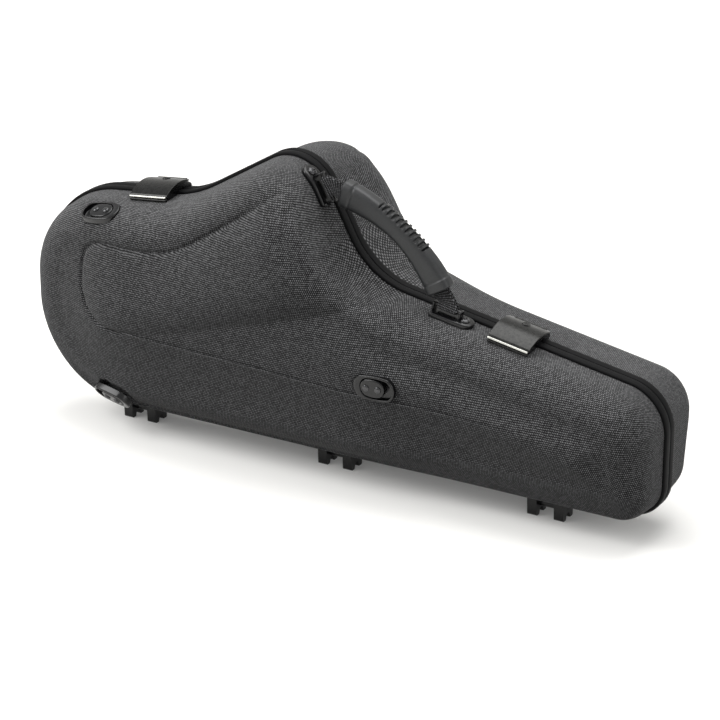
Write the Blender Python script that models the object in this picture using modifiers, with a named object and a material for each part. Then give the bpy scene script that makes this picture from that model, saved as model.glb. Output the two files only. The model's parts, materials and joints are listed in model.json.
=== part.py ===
"""Shaped hard case for an alto saxophone, standing on its hinge feet.

Metres, +Z up. X runs from the bow end (left, -X) to the neck end (right, +X), and the front
half, which holds the instrument, is at -Y. Every piece is drawn with the parting plane of the
two halves at Y = 0. The last step moves the whole case, so that the origin is on the table
under the middle of its length and depth.
"""
from math import acos, atan2, cos, pi, radians, sin, tan

import bmesh
import bpy
import numpy as np
from mathutils import Matrix, Vector
from mathutils.bvhtree import BVHTree

for old in list(bpy.data.objects):
    bpy.data.objects.remove(old, do_unlink=True)

MM = 0.001

# Outline of the rubber edging in the parting plane: corners and the radii that round them
CASE_LENGTH = 650 * MM
LEFT_END_X, RIGHT_END_X = -CASE_LENGTH / 2, CASE_LENGTH / 2
TABLE_GAP = 23 * MM            # from the table to the underside of the edging
NECK_END_HEIGHT = 118 * MM
CROOK_X, CROOK_HEIGHT = 30 * MM, 173 * MM
PEAK_X, PEAK_HEIGHT = -33 * MM, 293 * MM
SADDLE_SHARE = 168 / 650       # of the length, from the bow end to the saddle
SADDLE_X, SADDLE_HEIGHT = LEFT_END_X + CASE_LENGTH * SADDLE_SHARE, 219 * MM
BOW_END_HEIGHT = 202 * MM
BOW_LOW_RADIUS, BOW_HIGH_RADIUS = 100 * MM, 90 * MM
NECK_LOW_RADIUS, NECK_HIGH_RADIUS = 32 * MM, 45 * MM
CROOK_RADIUS, PEAK_RADIUS, SADDLE_RADIUS = 80 * MM, 43 * MM, 120 * MM
LEAST_RADIUS = 6 * MM
PARTING_Y = -12.0 * MM         # of the parting plane in the finished case

# Sections of the two halves: the straight side wall, how far the shoulder rolls in, and the face's depth
SHELL_WALL = 3.0 * MM
WALL_DRAFT = radians(4)
FRONT_WALL, FRONT_SHOULDER, FRONT_NECK_DEPTH, FRONT_BELL_DEPTH = 22 * MM, 30 * MM, 56 * MM, 68 * MM
REAR_WALL, REAR_SHOULDER, REAR_NECK_DEPTH, REAR_BELL_DEPTH = 46 * MM, 20 * MM, 69 * MM, 98 * MM
FRONT_BOW_WALL, FRONT_BOW_SHOULDER, FRONT_BOW_DEPTH = 20 * MM, 32 * MM, 48 * MM
FRONT_CROOK_WALL, FRONT_CROOK_SHOULDER = 44 * MM, 12 * MM    # steep where the bell's rim stands
CROOK_START_X, CROOK_END_X, CROOK_BLEND, CROOK_LOW_Z = -38 * MM, 92 * MM, 46 * MM, 100 * MM
REAR_BOW_WALL, REAR_BOW_SHOULDER, REAR_BOW_DEPTH = 14 * MM, 44 * MM, 62 * MM
FRONT_FALL_INSET, REAR_FALL_INSET = 145 * MM, 155 * MM       # from the bow end
FRONT_FALL_START_X, FRONT_FALL_END_X = LEFT_END_X + FRONT_FALL_INSET, LEFT_END_X
REAR_FALL_START_X, REAR_FALL_END_X = 20 * MM, LEFT_END_X + REAR_FALL_INSET
CROWN = 8 * MM                 # extra depth of the face at its middle
SWELL_START_X, SWELL_END_X = 150 * MM, 20 * MM
SEAT_GAP = 0.3 * MM            # air between pieces that touch

# Relief of the bell pressed into the face: a dome between a lower and an upper line, round at the bow end
RELIEF_INSET, LOW_BEND_INSET, HIGH_BEND_INSET, SWELL_INSET = 84 * MM, 147 * MM, 185 * MM, 135 * MM
RELIEF_LEFT_X = LEFT_END_X + RELIEF_INSET
RELIEF_LOW_Z, RELIEF_LOW_BEND_X, RELIEF_LOW_SLOPE = 119 * MM, LEFT_END_X + LOW_BEND_INSET, 0.30
RELIEF_HIGH_Z, RELIEF_HIGH_BEND_X, RELIEF_HIGH_SLOPE = 202 * MM, LEFT_END_X + HIGH_BEND_INSET, 0.68
RELIEF_BEND = 14 * MM          # length over which a line bends
RELIEF_BOW_RISE, RELIEF_BELL_RISE = 3 * MM, 13 * MM
RELIEF_POWER, RELIEF_HIGH_CORNER, RELIEF_LOW_CORNER = 2.2, 3.2, 2.0   # roundness of the dome and its end
RELIEF_SWELL_START_X, RELIEF_SWELL_END_X = LEFT_END_X + SWELL_INSET, 10 * MM
RELIEF_END_X, RELIEF_FADE = 110 * MM, 50 * MM
RELIEF_WALL_START, RELIEF_WALL_END = 34 * MM, 56 * MM   # depths between which the relief sets in
CREASE_Z, CREASE_SLOPE, CREASE_FALL, CREASE_BEND = 110 * MM, -0.041, 0.07, 3 * MM

# Spine of the face: the line that the face's rings close on
SPINE_BOW_INSET, SPINE_NECK_INSET = 110 * MM, 67 * MM          # from the ends of the case
SPINE_BOW_X, SPINE_BOW_Z = LEFT_END_X + SPINE_BOW_INSET, 128 * MM
SPINE_BELL_X, SPINE_BELL_Z = -50 * MM, 158 * MM
SPINE_NECK_X, SPINE_NECK_Z = RIGHT_END_X - SPINE_NECK_INSET, 84 * MM

# Edging
EDGING_PROUD = 3.0 * MM
EDGING_DEPTH = 8.4 * MM
EDGING_FLOOR = 1.7 * MM
EDGING_EASE = 0.9 * MM
PARTING_GAP = 0.4 * MM         # between the two closed edgings

# Liner
LINER_RECESS = 1.0 * MM        # of the foam's face below the parting plane
LINER_GAP = 0.6 * MM           # between the foam and the shell's faceted inside
CHANNEL_BOW_RADIUS, CHANNEL_NECK_RADIUS = 40 * MM, 31 * MM
ROOM_BOW_INSET, ROOM_NECK_INSET = 110 * MM, 27 * MM            # from the ends of the case
CHANNEL_START_X, CHANNEL_END_X = LEFT_END_X + ROOM_BOW_INSET, RIGHT_END_X - ROOM_NECK_INSET
CHANNEL_START_Z, CHANNEL_END_Z = 103 * MM, 84 * MM
BOW_LENGTH_RADIUS, BOW_DEPTH_RADIUS, BOW_HEIGHT_RADIUS = 74 * MM, 44 * MM, 74 * MM
BOW_CENTRE_Z = 134 * MM
BELL_START_X, BELL_START_Z = LEFT_END_X + ROOM_BOW_INSET, 165 * MM
BELL_RIM_X, BELL_RIM_Z = -38 * MM, 220 * MM
BELL_THROAT_RADIUS, BELL_RIM_RADIUS = 34 * MM, 61 * MM
BELL_FLARE = 3.2               # power of the flare: the bell opens late
BOW_CUT_INSET, BELL_CUT_X, NECK_CUT_INSET = 207 * MM, -27 * MM, 156 * MM   # of the cuts between foam blocks
LINER_CUTS_X = (LEFT_END_X + BOW_CUT_INSET, BELL_CUT_X, RIGHT_END_X - NECK_CUT_INSET)
LINER_CUT_GAP = 0.5 * MM
POCKET_X, POCKET_Z = 104 * MM, 149 * MM
POCKET_LENGTH, POCKET_HEIGHT, POCKET_DEPTH = 112 * MM, 24 * MM, 36 * MM

# Hinges that are also the feet
HINGE_MIDDLE_X, HINGE_INSET = -6 * MM, 107.5 * MM
HINGE_PITCH = CASE_LENGTH / 2 - HINGE_INSET
HINGE_AXIS_Z = 11.5 * MM
FOOT_ARCH_SHARE = 0.8          # height of the arch's sides between the feet, of its crown
FOOT_PITCH, FOOT_WIDTH = 26.5 * MM, 9.5 * MM
FOOT_REACH, FOOT_TREAD = 9.6 * MM, 5.4 * MM
FOOT_EASE = 1.0 * MM
LEAF_THICK, LEAF_REACH = 3.0 * MM, 23.0 * MM
KNUCKLE_RADIUS, PIN_RADIUS = 4.4 * MM, 1.9 * MM
CROSSBAR_HEIGHT = 4.2 * MM

# Latches
BRACKET_HIGH_X, BRACKET_LOW_X = -11.3 * MM, 115 * MM
LATCH_LEFT_INSET = 132 * MM    # from the bow end
LATCH_RIGHT_SHARE = 65.5 / 210  # of the way from the low bracket to the neck end
LATCH_LEFT_X = LEFT_END_X + LATCH_LEFT_INSET
LATCH_RIGHT_X = BRACKET_LOW_X + (RIGHT_END_X - BRACKET_LOW_X) * LATCH_RIGHT_SHARE
LATCH_WIDTH = 39 * MM
COVER_NEAR_Y, COVER_NEAR_Z = -28 * MM, 1.1 * MM
COVER_FAR_Y, COVER_FAR_Z = 15.5 * MM, 4.3 * MM
COVER_SAGITTA = 6.0 * MM
COVER_THICK = 1.5 * MM
COVER_CORNER = 5 * MM
LEVER_AXIS_Y, LEVER_AXIS_Z = 12.6 * MM, -0.2 * MM
LEVER_BARREL_RADIUS, LEVER_PIN_RADIUS = 2.7 * MM, 1.3 * MM
LEVER_WEB_SHARE = 0.6          # half the web over the barrel, of the barrel's radius
HOUSING_CHEEK = 4.0 * MM
HOUSING_BACK_Y = 15.4 * MM
LIP_DEPTH, LIP_HEIGHT, LIP_EASE = 1.9 * MM, 2.4 * MM, 0.5 * MM
BAR_DEPTH, BAR_HEIGHT = 2.2 * MM, 2.6 * MM
CLAW_WIDTH, CLAW_THICK, CLAW_Y = 18 * MM, 1.8 * MM, -21 * MM
CATCH_HEIGHT = 2.2 * MM
LOCK_RADIUS, LOCK_Y, LOCK_PROUD, LOCK_LENGTH = 3.9 * MM, 3.0 * MM, 0.6 * MM, 4.4 * MM
KEY_SLOT_LENGTH, KEY_SLOT_WIDTH, KEY_SLOT_DEPTH = 4.6 * MM, 1.1 * MM, 2.4 * MM

# Handle
BRACKET_Y = -19.2 * MM
BRACKET_WIDTH, BRACKET_THICK = 18 * MM, 4.2 * MM
BAR_REACH, BAR_RADIUS, BAR_RISE = 25 * MM, 1.9 * MM, 5.4 * MM
EAR_THICK, EAR_WIDTH = 1.8 * MM, 8 * MM
SCREW_OFFSET, SCREW_RADIUS, SCREW_DOME = 18.4 * MM, 3.6 * MM, 1.7 * MM
TIP_SHARE = 0.95               # of the bracket's width, at its round screw end
DOME_SHOULDER_SHARE, DOME_RISE_SHARE = 0.67, 0.78
BEND_STEP = 6 * MM             # of the cuts that let a bracket follow the case
HANDLE_SAGITTA = 21 * MM
WEB_LENGTH, WEB_WIDTH, WEB_THICK = 17 * MM, 22 * MM, 1.5 * MM
WEB_TUCK = 8 * MM
WRAP_STEPS = 5
WEB_CLEAR = 1.6 * MM           # from the bar to where the band has its bar width, past the ears
WEB_POCKET = 2.6 * MM          # half the depth of the grip's pocket for the doubled band
WEB_GRIP_SHARE, WEB_BAR_SHARE = 0.74, 0.86   # of the band's width, inside the grip and at the bar
GRIP_END_WIDTH, GRIP_WIDTH, GRIP_THICK = 25 * MM, 18.5 * MM, 17 * MM
GRIP_EASE, GRIP_COLLAR, GRIP_SLEEVE = 1.5 * MM, 8 * MM, 16 * MM   # places of its end sections
GRIP_END_SHARE, GRIP_SQUARE = 0.88, 0.35   # drawn-in end, and how square the section is
GRIP_RIBS, RIB_HEIGHT, RIB_PITCH = 9, 1.5 * MM, 6.2 * MM
RIB_START_SHARE, RIB_END_SHARE = 0.28, 0.72   # of a rib's pitch, where its crown lies

# Shoulder strap anchors: place on the face, and which way the open end looks
ANCHOR_LENGTH, ANCHOR_WIDTH = 41 * MM, 25 * MM
ANCHOR_PROUD, ANCHOR_SINK, ANCHOR_RIM, ANCHOR_WELL = 3.0 * MM, 7.0 * MM, 2.4 * MM, 5.2 * MM
ANCHOR_CLOSED_RIM = 7 * MM     # of the closed end, wider than the rest
BOSS_LENGTH, BOSS_WIDTH, BOSS_PROUD = 24 * MM, 18 * MM, 3.4 * MM
RIVET_PITCH, RIVET_RADIUS, RIVET_DOME, RIVET_SHANK = 11.7 * MM, 3.3 * MM, 1.6 * MM, 2.4 * MM
RIVET_SHANK_SHARE = 0.6        # of the head's radius
ANCHOR_MIDDLE_X, ANCHOR_MIDDLE_Z = 71 * MM, 119 * MM
ANCHOR_HIGH_INSET, ANCHOR_LOW_INSET = 92 * MM, 99 * MM          # from the bow end
ANCHOR_HIGH_X, ANCHOR_HIGH_Z = LEFT_END_X + ANCHOR_HIGH_INSET, 222 * MM
ANCHOR_LOW_X, ANCHOR_LOW_Z = LEFT_END_X + ANCHOR_LOW_INSET, 40 * MM

OVERRUN = 2 * MM               # of every cutter past what it cuts

ROUND_SIDES, SMALL_SIDES, GRIP_SIDES = 14, 10, 8
ROOM_SIDES, ROOM_RINGS = 12, 8   # of the rooms cut into the foam
SHOULDER_STEPS, FACE_STEPS = 3, 4
CORNER_STEPS = (5, 3, 3, 5, 5, 3, 4)
EDGE_STEPS = (5, 1, 3, 2, 2, 1, 1)

case = bpy.data.collections.new("alto_saxophone_case")
tools = bpy.data.collections.new("cutters")
bpy.context.scene.collection.children.link(case)
bpy.context.scene.collection.children.link(tools)


def material(name, colour, roughness, metallic=0.0):
    made = bpy.data.materials.get(name)
    if made is None:
        made = bpy.data.materials.new(name)
        made.use_nodes = True
        shader = made.node_tree.nodes["Principled BSDF"]
        shader.inputs["Base Color"].default_value = (*colour, 1)
        shader.inputs["Roughness"].default_value = roughness
        shader.inputs["Metallic"].default_value = metallic
    return made


FABRIC = material("charcoal_weave", (0.062, 0.062, 0.065), 0.9)
RUBBER = material("black_rubber", (0.008, 0.008, 0.008), 0.6)
FOAM = material("plush_foam", (0.02, 0.02, 0.022), 1.0)
PLASTIC = material("black_plastic", (0.012, 0.012, 0.012), 0.45)
CHROME = material("dark_chrome", (0.16, 0.16, 0.16), 0.28, 1.0)
BRIGHT = material("bright_chrome", (0.86, 0.86, 0.84), 0.12, 1.0)
STEEL = material("steel_pin", (0.45, 0.45, 0.45), 0.35, 1.0)
GRIP_RUBBER = material("grip_rubber", (0.05, 0.05, 0.052), 0.55)
WEBBING = material("nylon_webbing", (0.01, 0.01, 0.01), 0.7)


def new_object(name, mesh, skin, where=case):
    made = bpy.data.objects.new(name, mesh)
    where.objects.link(made)
    if skin:
        mesh.materials.append(skin)
    return made


def from_bmesh(name, bm, skin, where=case):
    bmesh.ops.recalc_face_normals(bm, faces=bm.faces)
    mesh = bpy.data.meshes.new(name)
    bm.to_mesh(mesh)
    bm.free()
    return new_object(name, mesh, skin, where)


def hide_cutter(cutter):
    cutter.hide_render = True
    cutter.display_type = "WIRE"
    return cutter


def boolean(target, other, operation="DIFFERENCE"):
    """Applies one exact Boolean and drops the tool."""
    change = target.modifiers.new(operation.lower(), "BOOLEAN")
    change.operation = operation
    change.solver = "EXACT"
    change.object = other
    graph = bpy.context.evaluated_depsgraph_get()
    mesh = bpy.data.meshes.new_from_object(target.evaluated_get(graph))
    target.modifiers.clear()
    target.data = mesh
    bpy.data.objects.remove(other, do_unlink=True)
    return target


def place(piece, frame):
    piece.data.transform(frame)
    return piece


def box(name, low, high, skin, where=case, ease=0.0, steps=1):
    bm = bmesh.new()
    bmesh.ops.create_cube(bm, size=1)
    low, high = Vector(low), Vector(high)
    middle, size = (low + high) / 2, high - low
    bmesh.ops.transform(bm, matrix=Matrix.LocRotScale(middle, None, size), verts=bm.verts)
    if ease:
        bmesh.ops.bevel(bm, geom=bm.edges[:], offset=ease, segments=steps, affect="EDGES", profile=0.5)
    return from_bmesh(name, bm, skin, where)


def rod(name, start, end, radius, skin, where=case, sides=ROUND_SIDES, end_radius=None):
    bm = bmesh.new()
    start, end = Vector(start), Vector(end)
    along = end - start
    bmesh.ops.create_cone(bm, cap_ends=True, segments=sides, radius1=radius,
                          radius2=radius if end_radius is None else end_radius, depth=along.length)
    turn = along.to_track_quat("Z", "Y")
    bmesh.ops.transform(bm, matrix=Matrix.LocRotScale((start + end) / 2, turn, None), verts=bm.verts)
    return from_bmesh(name, bm, skin, where)


def slab(name, points, low_x, high_x, skin, where=case):
    """A flat (y, z) outline, pulled straight along X."""
    bm = bmesh.new()
    face = bm.faces.new([bm.verts.new((low_x, y, z)) for y, z in points])
    pulled = bmesh.ops.extrude_face_region(bm, geom=[face])["geom"]
    moved = [v for v in pulled if isinstance(v, bmesh.types.BMVert)]
    bmesh.ops.translate(bm, vec=(high_x - low_x, 0, 0), verts=moved)
    return from_bmesh(name, bm, skin, where)


def stadium(name, length, width, low_z, high_z, skin, where=case, shift=0.0, steps=6):
    """A prism with two round ends, its length along X."""
    radius = width / 2
    reach = length / 2 - radius
    bm = bmesh.new()
    turns = [-pi / 2 + pi * k / steps for k in range(steps + 1)]
    right = [(shift + reach + radius * cos(a), radius * sin(a)) for a in turns]
    left = [(shift - reach - radius * cos(a), -radius * sin(a)) for a in turns]
    face = bm.faces.new([bm.verts.new((x, y, low_z)) for x, y in right + left])
    pulled = bmesh.ops.extrude_face_region(bm, geom=[face])["geom"]
    moved = [v for v in pulled if isinstance(v, bmesh.types.BMVert)]
    bmesh.ops.translate(bm, vec=(0, 0, high_z - low_z), verts=moved)
    return from_bmesh(name, bm, skin, where)


def turned(name, profile, skin, where=case, sides=ROUND_SIDES):
    """A solid of revolution round Z from (radius, z) points that start and end on the axis."""
    bm = bmesh.new()
    line = [bm.verts.new((r, 0, z)) for r, z in profile]
    for a, b in zip(line, line[1:]):
        bm.edges.new((a, b))
    mesh = bpy.data.meshes.new(name)
    bm.to_mesh(mesh)
    bm.free()
    made = new_object(name, mesh, skin, where)
    spin = made.modifiers.new("turn", "SCREW")
    spin.steps = spin.render_steps = sides
    spin.use_merge_vertices = True
    spin.merge_threshold = 0.00005
    graph = bpy.context.evaluated_depsgraph_get()
    made.data = bpy.data.meshes.new_from_object(made.evaluated_get(graph))
    made.modifiers.clear()
    return made


def loft(name, rings, skin, where=case, ring_loop=False, caps=(False, False)):
    """Joins equal rings of points; caps says which end rings are filled."""
    bm = bmesh.new()
    rows = [[bm.verts.new(p) for p in ring] for ring in rings]
    pairs = list(zip(rows, rows[1:])) + ([(rows[-1], rows[0])] if ring_loop else [])
    count = len(rows[0])
    for a, b in pairs:
        for k in range(count):
            n = (k + 1) % count
            bm.faces.new((a[k], a[n], b[n], b[k]))
    for row, wanted in zip((rows[0], rows[-1]), caps):
        if wanted:
            bm.faces.new(row)
    return from_bmesh(name, bm, skin, where)


# The outline and places on it
def corners():
    half = CASE_LENGTH / 2
    return [
        (-half, TABLE_GAP, BOW_LOW_RADIUS),
        (half, TABLE_GAP, NECK_LOW_RADIUS),
        (half, TABLE_GAP + NECK_END_HEIGHT, NECK_HIGH_RADIUS),
        (CROOK_X, TABLE_GAP + CROOK_HEIGHT, CROOK_RADIUS),
        (PEAK_X, TABLE_GAP + PEAK_HEIGHT, PEAK_RADIUS),
        (SADDLE_X, TABLE_GAP + SADDLE_HEIGHT, SADDLE_RADIUS),
        (-half, TABLE_GAP + BOW_END_HEIGHT, BOW_HIGH_RADIUS),
    ]


def inset_corners(inset):
    """The corners moved in by inset, with each radius grown or shrunk to stay parallel."""
    base = corners()
    count = len(base)
    spots = [np.array(c[:2]) for c in base]
    ways = [spots[(k + 1) % count] - spots[k] for k in range(count)]
    ways = [w / np.linalg.norm(w) for w in ways]
    moved = []
    for k in range(count):
        a, b = ways[k - 1], ways[k]
        inward_a, inward_b = np.array([-a[1], a[0]]), np.array([-b[1], b[0]])
        bisector = inward_a + inward_b
        bend = np.sign(a[0] * b[1] - a[1] * b[0])
        spot = spots[k] + bisector * inset / (1 + inward_a @ inward_b)
        radius = max(base[k][2] - bend * inset, LEAST_RADIUS)
        moved.append((spot, a, b, bend, radius))
    return moved


def outline(inset=0.0):
    """Points of the rounded outline, anticlockwise seen from the front, starting at the low bow corner."""
    arcs = []
    for (spot, a, b, bend, radius), steps in zip(inset_corners(inset), CORNER_STEPS):
        turn = acos(min(1.0, a @ b))
        start = spot - a * radius * tan(turn / 2)
        centre = start + bend * radius * np.array([-a[1], a[0]])
        spokes = []
        for k in range(steps + 1):
            angle = bend * turn * k / steps
            spoke = start - centre
            spokes.append(centre + np.array([spoke[0] * cos(angle) - spoke[1] * sin(angle),
                                             spoke[0] * sin(angle) + spoke[1] * cos(angle)]))
        arcs.append(spokes)
    points = []
    for k, steps in enumerate(EDGE_STEPS):
        points += arcs[k]
        start, end = arcs[k][-1], arcs[(k + 1) % len(arcs)][0]
        points += [start + (end - start) * j / steps for j in range(1, steps)]
    return np.array(points)


def upper_line():
    """Fine points of the outline's upper side with their running length, left to right."""
    fine = []
    for (spot, a, b, bend, radius) in inset_corners(0.0)[2:]:
        turn = acos(min(1.0, a @ b))
        start = spot - a * radius * tan(turn / 2)
        centre = start + bend * radius * np.array([-a[1], a[0]])
        spoke = start - centre
        for angle in np.linspace(0, bend * turn, 60):
            fine.append(centre + np.array([spoke[0] * cos(angle) - spoke[1] * sin(angle),
                                           spoke[0] * sin(angle) + spoke[1] * cos(angle)]))
    fine = np.array(fine[::-1])
    run = np.concatenate([[0], np.cumsum(np.linalg.norm(np.diff(fine, axis=0), axis=1))])
    return fine, run


UPPER, UPPER_RUN = upper_line()


def top_frame(x, width):
    """A frame laid over a width of the outline's upper side: its X along it, its Z out of the case."""
    spots = np.linspace(x - width / 2, x + width / 2, 9)
    heights = np.interp(spots, np.maximum.accumulate(UPPER[:, 0]), UPPER[:, 1])
    slope = atan2(heights[-1] - heights[0], width)
    chord = heights[0] + (spots - spots[0]) * tan(slope)
    lift = max(heights - chord)
    return Matrix.Translation((x, 0, chord[4] + lift)) @ Matrix.Rotation(-slope, 4, "Y")


def upper_run_at(x):
    return float(np.interp(x, np.maximum.accumulate(UPPER[:, 0]), UPPER_RUN))


def on_upper(run, y, height):
    """World place at a run along the upper outline, height above the shell's side wall there."""
    x = np.interp(run, UPPER_RUN, UPPER[:, 0])
    z = np.interp(run, UPPER_RUN, UPPER[:, 1])
    step = OVERRUN
    ahead = np.array([np.interp(run + step, UPPER_RUN, UPPER[:, c]) for c in (0, 1)])
    behind = np.array([np.interp(run - step, UPPER_RUN, UPPER[:, c]) for c in (0, 1)])
    way = (ahead - behind) / np.linalg.norm(ahead - behind)
    out = height - wall_inset(abs(y))
    return Vector((x - way[1] * out, y, z + way[0] * out))


def wall_inset(depth):
    """How far the outer side wall lies inside the edging's outline at a depth."""
    return EDGING_PROUD + max(0.0, depth - EDGING_DEPTH - SEAT_GAP) * tan(WALL_DRAFT)


def smooth_step(value):
    value = np.clip(value, 0, 1)
    return value * value * (3 - 2 * value)


# The face of a half
def bent_line(x, start, bend_x, slope):
    """A level line that bends up to a slope at bend_x."""
    return start + slope * RELIEF_BEND * np.logaddexp(0, (x - bend_x) / RELIEF_BEND)


def relief(x, z):
    """Height of the pressed bell over the face, and how the face falls away below the lower crease."""
    low = bent_line(x, RELIEF_LOW_Z, RELIEF_LOW_BEND_X, RELIEF_LOW_SLOPE)
    high = bent_line(x, RELIEF_HIGH_Z, RELIEF_HIGH_BEND_X, RELIEF_HIGH_SLOPE)
    half, up = (high - low) / 2, z - (high + low) / 2
    corner = np.where(up > 0, RELIEF_HIGH_CORNER, RELIEF_LOW_CORNER)
    from_left = np.maximum(0, half - (x - RELIEF_LEFT_X)) / half
    spread = np.minimum(1, (from_left ** corner + (np.abs(up) / half) ** corner) ** (1 / corner))
    swell = smooth_step((x - RELIEF_SWELL_START_X) / (RELIEF_SWELL_END_X - RELIEF_SWELL_START_X))
    rise = RELIEF_BOW_RISE + (RELIEF_BELL_RISE - RELIEF_BOW_RISE) * swell
    rise = rise * smooth_step((RELIEF_END_X - x) / RELIEF_FADE)
    crease = CREASE_Z + CREASE_SLOPE * x
    fall = CREASE_FALL * CREASE_BEND * np.logaddexp(0, (crease - z) / CREASE_BEND)
    return rise * (1 - spread ** RELIEF_POWER) - fall


def press_relief(bm, side):
    """Cuts the face along the bell's lower edge, then presses the relief into it."""
    across = Vector((RELIEF_LOW_SLOPE, 0, -1)).normalized()
    on_line = Vector((RELIEF_LOW_BEND_X, 0, RELIEF_LOW_Z))
    chosen = [f for f in bm.faces if RELIEF_LOW_BEND_X < f.calc_center_median().x < RELIEF_END_X - RELIEF_FADE
              and abs(f.calc_center_median().y) > RELIEF_WALL_END]
    near = {e for f in chosen for e in f.edges} | {v for f in chosen for v in f.verts}
    bmesh.ops.bisect_plane(bm, geom=chosen + list(near), plane_co=on_line, plane_no=across, dist=SEAT_GAP)
    bmesh.ops.triangulate(bm, faces=[f for f in bm.faces if len(f.verts) > 4], ngon_method="BEAUTY")
    points = np.array([v.co for v in bm.verts])
    deep = smooth_step((np.abs(points[:, 1]) - RELIEF_WALL_START) / (RELIEF_WALL_END - RELIEF_WALL_START))
    rise = relief(points[:, 0], points[:, 2]) * deep
    for vertex, height in zip(bm.verts, rise):
        vertex.co.y += side * height


def section(side):
    """Wall, shoulder, neck and bell depths, those of the bow end, and where they change; front is -1."""
    if side < 0:
        return (FRONT_WALL, FRONT_SHOULDER, FRONT_NECK_DEPTH, FRONT_BELL_DEPTH, FRONT_BOW_WALL,
                FRONT_BOW_SHOULDER, FRONT_BOW_DEPTH, FRONT_FALL_START_X, FRONT_FALL_END_X)
    return (REAR_WALL, REAR_SHOULDER, REAR_NECK_DEPTH, REAR_BELL_DEPTH, REAR_BOW_WALL,
            REAR_BOW_SHOULDER, REAR_BOW_DEPTH, REAR_FALL_START_X, REAR_FALL_END_X)


def bow_share(x, side):
    """0 where a half has its main section and 1 where it has the bow end's."""
    start, end = section(side)[-2:]
    return smooth_step((x - start) / (end - start))


def crook_share(points, side):
    """1 along the crook of the front half, where the wall stands steep, and 0 elsewhere."""
    x, z = points[:, 0], points[:, 1]
    along = smooth_step((x - CROOK_START_X) / CROOK_BLEND) * smooth_step((CROOK_END_X - x) / CROOK_BLEND)
    return along * (z > CROOK_LOW_Z) * (side < 0)


def face_depth(x, side):
    _, _, neck, bell, _, _, bow, _, _ = section(side)
    swell = smooth_step((x - SWELL_START_X) / (SWELL_END_X - SWELL_START_X))
    return neck + (bell - neck) * swell - (bell - bow) * bow_share(x, side)


def spine_points(points):
    """The place on the spine straight above or below each point, or its end."""
    x = np.clip(points[:, 0], SPINE_BOW_X, SPINE_NECK_X)
    z = np.interp(x, (SPINE_BOW_X, SPINE_BELL_X, SPINE_NECK_X), (SPINE_BOW_Z, SPINE_BELL_Z, SPINE_NECK_Z))
    return np.column_stack([x, z])


def face_rings(side):
    """Rings of a half's outer surface, drawn in front, from the rim to close round the spine."""
    rings = []
    wall, shoulder, _, _, bow_wall, bow_shoulder, _, _, _ = section(side)
    edge = outline(EDGING_PROUD)
    bow = bow_share(edge[:, 0], side)[:, None]
    crook = crook_share(edge, side)[:, None]

    def add(points, depth):
        rings.append(np.column_stack([points[:, 0], -np.broadcast_to(depth, len(points)), points[:, 1]]))

    def rolled(inward):
        """The ring whose shoulder has rolled in by a share of its width."""
        main = outline(wall_inset(wall) + shoulder * inward)
        at_crook = outline(wall_inset(FRONT_CROOK_WALL) + FRONT_CROOK_SHOULDER * inward)
        at_bow = outline(wall_inset(bow_wall) + bow_shoulder * inward)
        return main + (at_bow - main) * bow + (at_crook - main) * crook

    add(edge, PARTING_GAP / 2 + EDGING_FLOOR + SEAT_GAP)
    add(edge, EDGING_DEPTH + SEAT_GAP)
    straight = wall + (bow_wall - wall) * bow[:, 0] + (FRONT_CROOK_WALL - wall) * crook[:, 0]
    add(rolled(0.0), straight)
    for k in range(1, SHOULDER_STEPS + 1):
        angle = pi / 2 * k / (SHOULDER_STEPS + 1)
        ring = rolled(1 - cos(angle))
        add(ring, straight + (face_depth(ring[:, 0], side) - straight) * sin(angle))
    last = rolled(1.0)
    target = spine_points(last)
    for k in range(FACE_STEPS + 1):
        share = k / (FACE_STEPS + 1)
        ring = last + (target - last) * share
        add(ring, face_depth(ring[:, 0], side) + CROWN * smooth_step(share))
    return rings


def mirrored(rings, side):
    return [ring * np.array([1, -side, 1]) for ring in rings]


def half_surface(name, side, skin, where=case):
    """The outer surface of a half, open at the parting plane; side is -1 in front and 1 behind."""
    made = loft(name, mirrored(face_rings(side), side), skin, where, caps=(False, True))
    bm = bmesh.new()
    bm.from_mesh(made.data)
    bmesh.ops.triangulate(bm, faces=[f for f in bm.faces if len(f.verts) > 4], ngon_method="BEAUTY")
    press_relief(bm, side)
    bmesh.ops.recalc_face_normals(bm, faces=bm.faces)
    deepest = min(bm.faces, key=lambda f: -side * f.calc_center_median().y)
    if deepest.normal.y * side < 0:
        bmesh.ops.reverse_faces(bm, faces=bm.faces)
    bmesh.ops.triangulate(bm, faces=bm.faces[:], quad_method="FIXED")
    bm.to_mesh(made.data)
    bm.free()
    return made


def shell(name, side):
    made = half_surface(name, side, FABRIC)
    wall = made.modifiers.new("wall", "SOLIDIFY")
    wall.thickness = SHELL_WALL
    wall.offset = -1
    graph = bpy.context.evaluated_depsgraph_get()
    made.data = bpy.data.meshes.new_from_object(made.evaluated_get(graph))
    made.modifiers.clear()
    return made


def edging(name, side):
    """A rubber channel over the rim of the shell, swept round the outline."""
    near = PARTING_GAP / 2
    inner = EDGING_PROUD - SEAT_GAP
    end = EDGING_PROUD + SHELL_WALL
    section = [(EDGING_EASE, near), (0.0, near + EDGING_EASE), (0.0, EDGING_DEPTH - EDGING_EASE),
               (EDGING_EASE, EDGING_DEPTH), (inner, EDGING_DEPTH), (inner, near + EDGING_FLOOR),
               (end, near + EDGING_FLOOR), (end, near)]
    rings = []
    for inset, depth in section:
        ring = outline(inset)
        rings.append(np.column_stack([ring[:, 0], np.full(len(ring), -depth), ring[:, 1]]))
    return loft(name, mirrored(rings, side), RUBBER, ring_loop=True)


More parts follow.
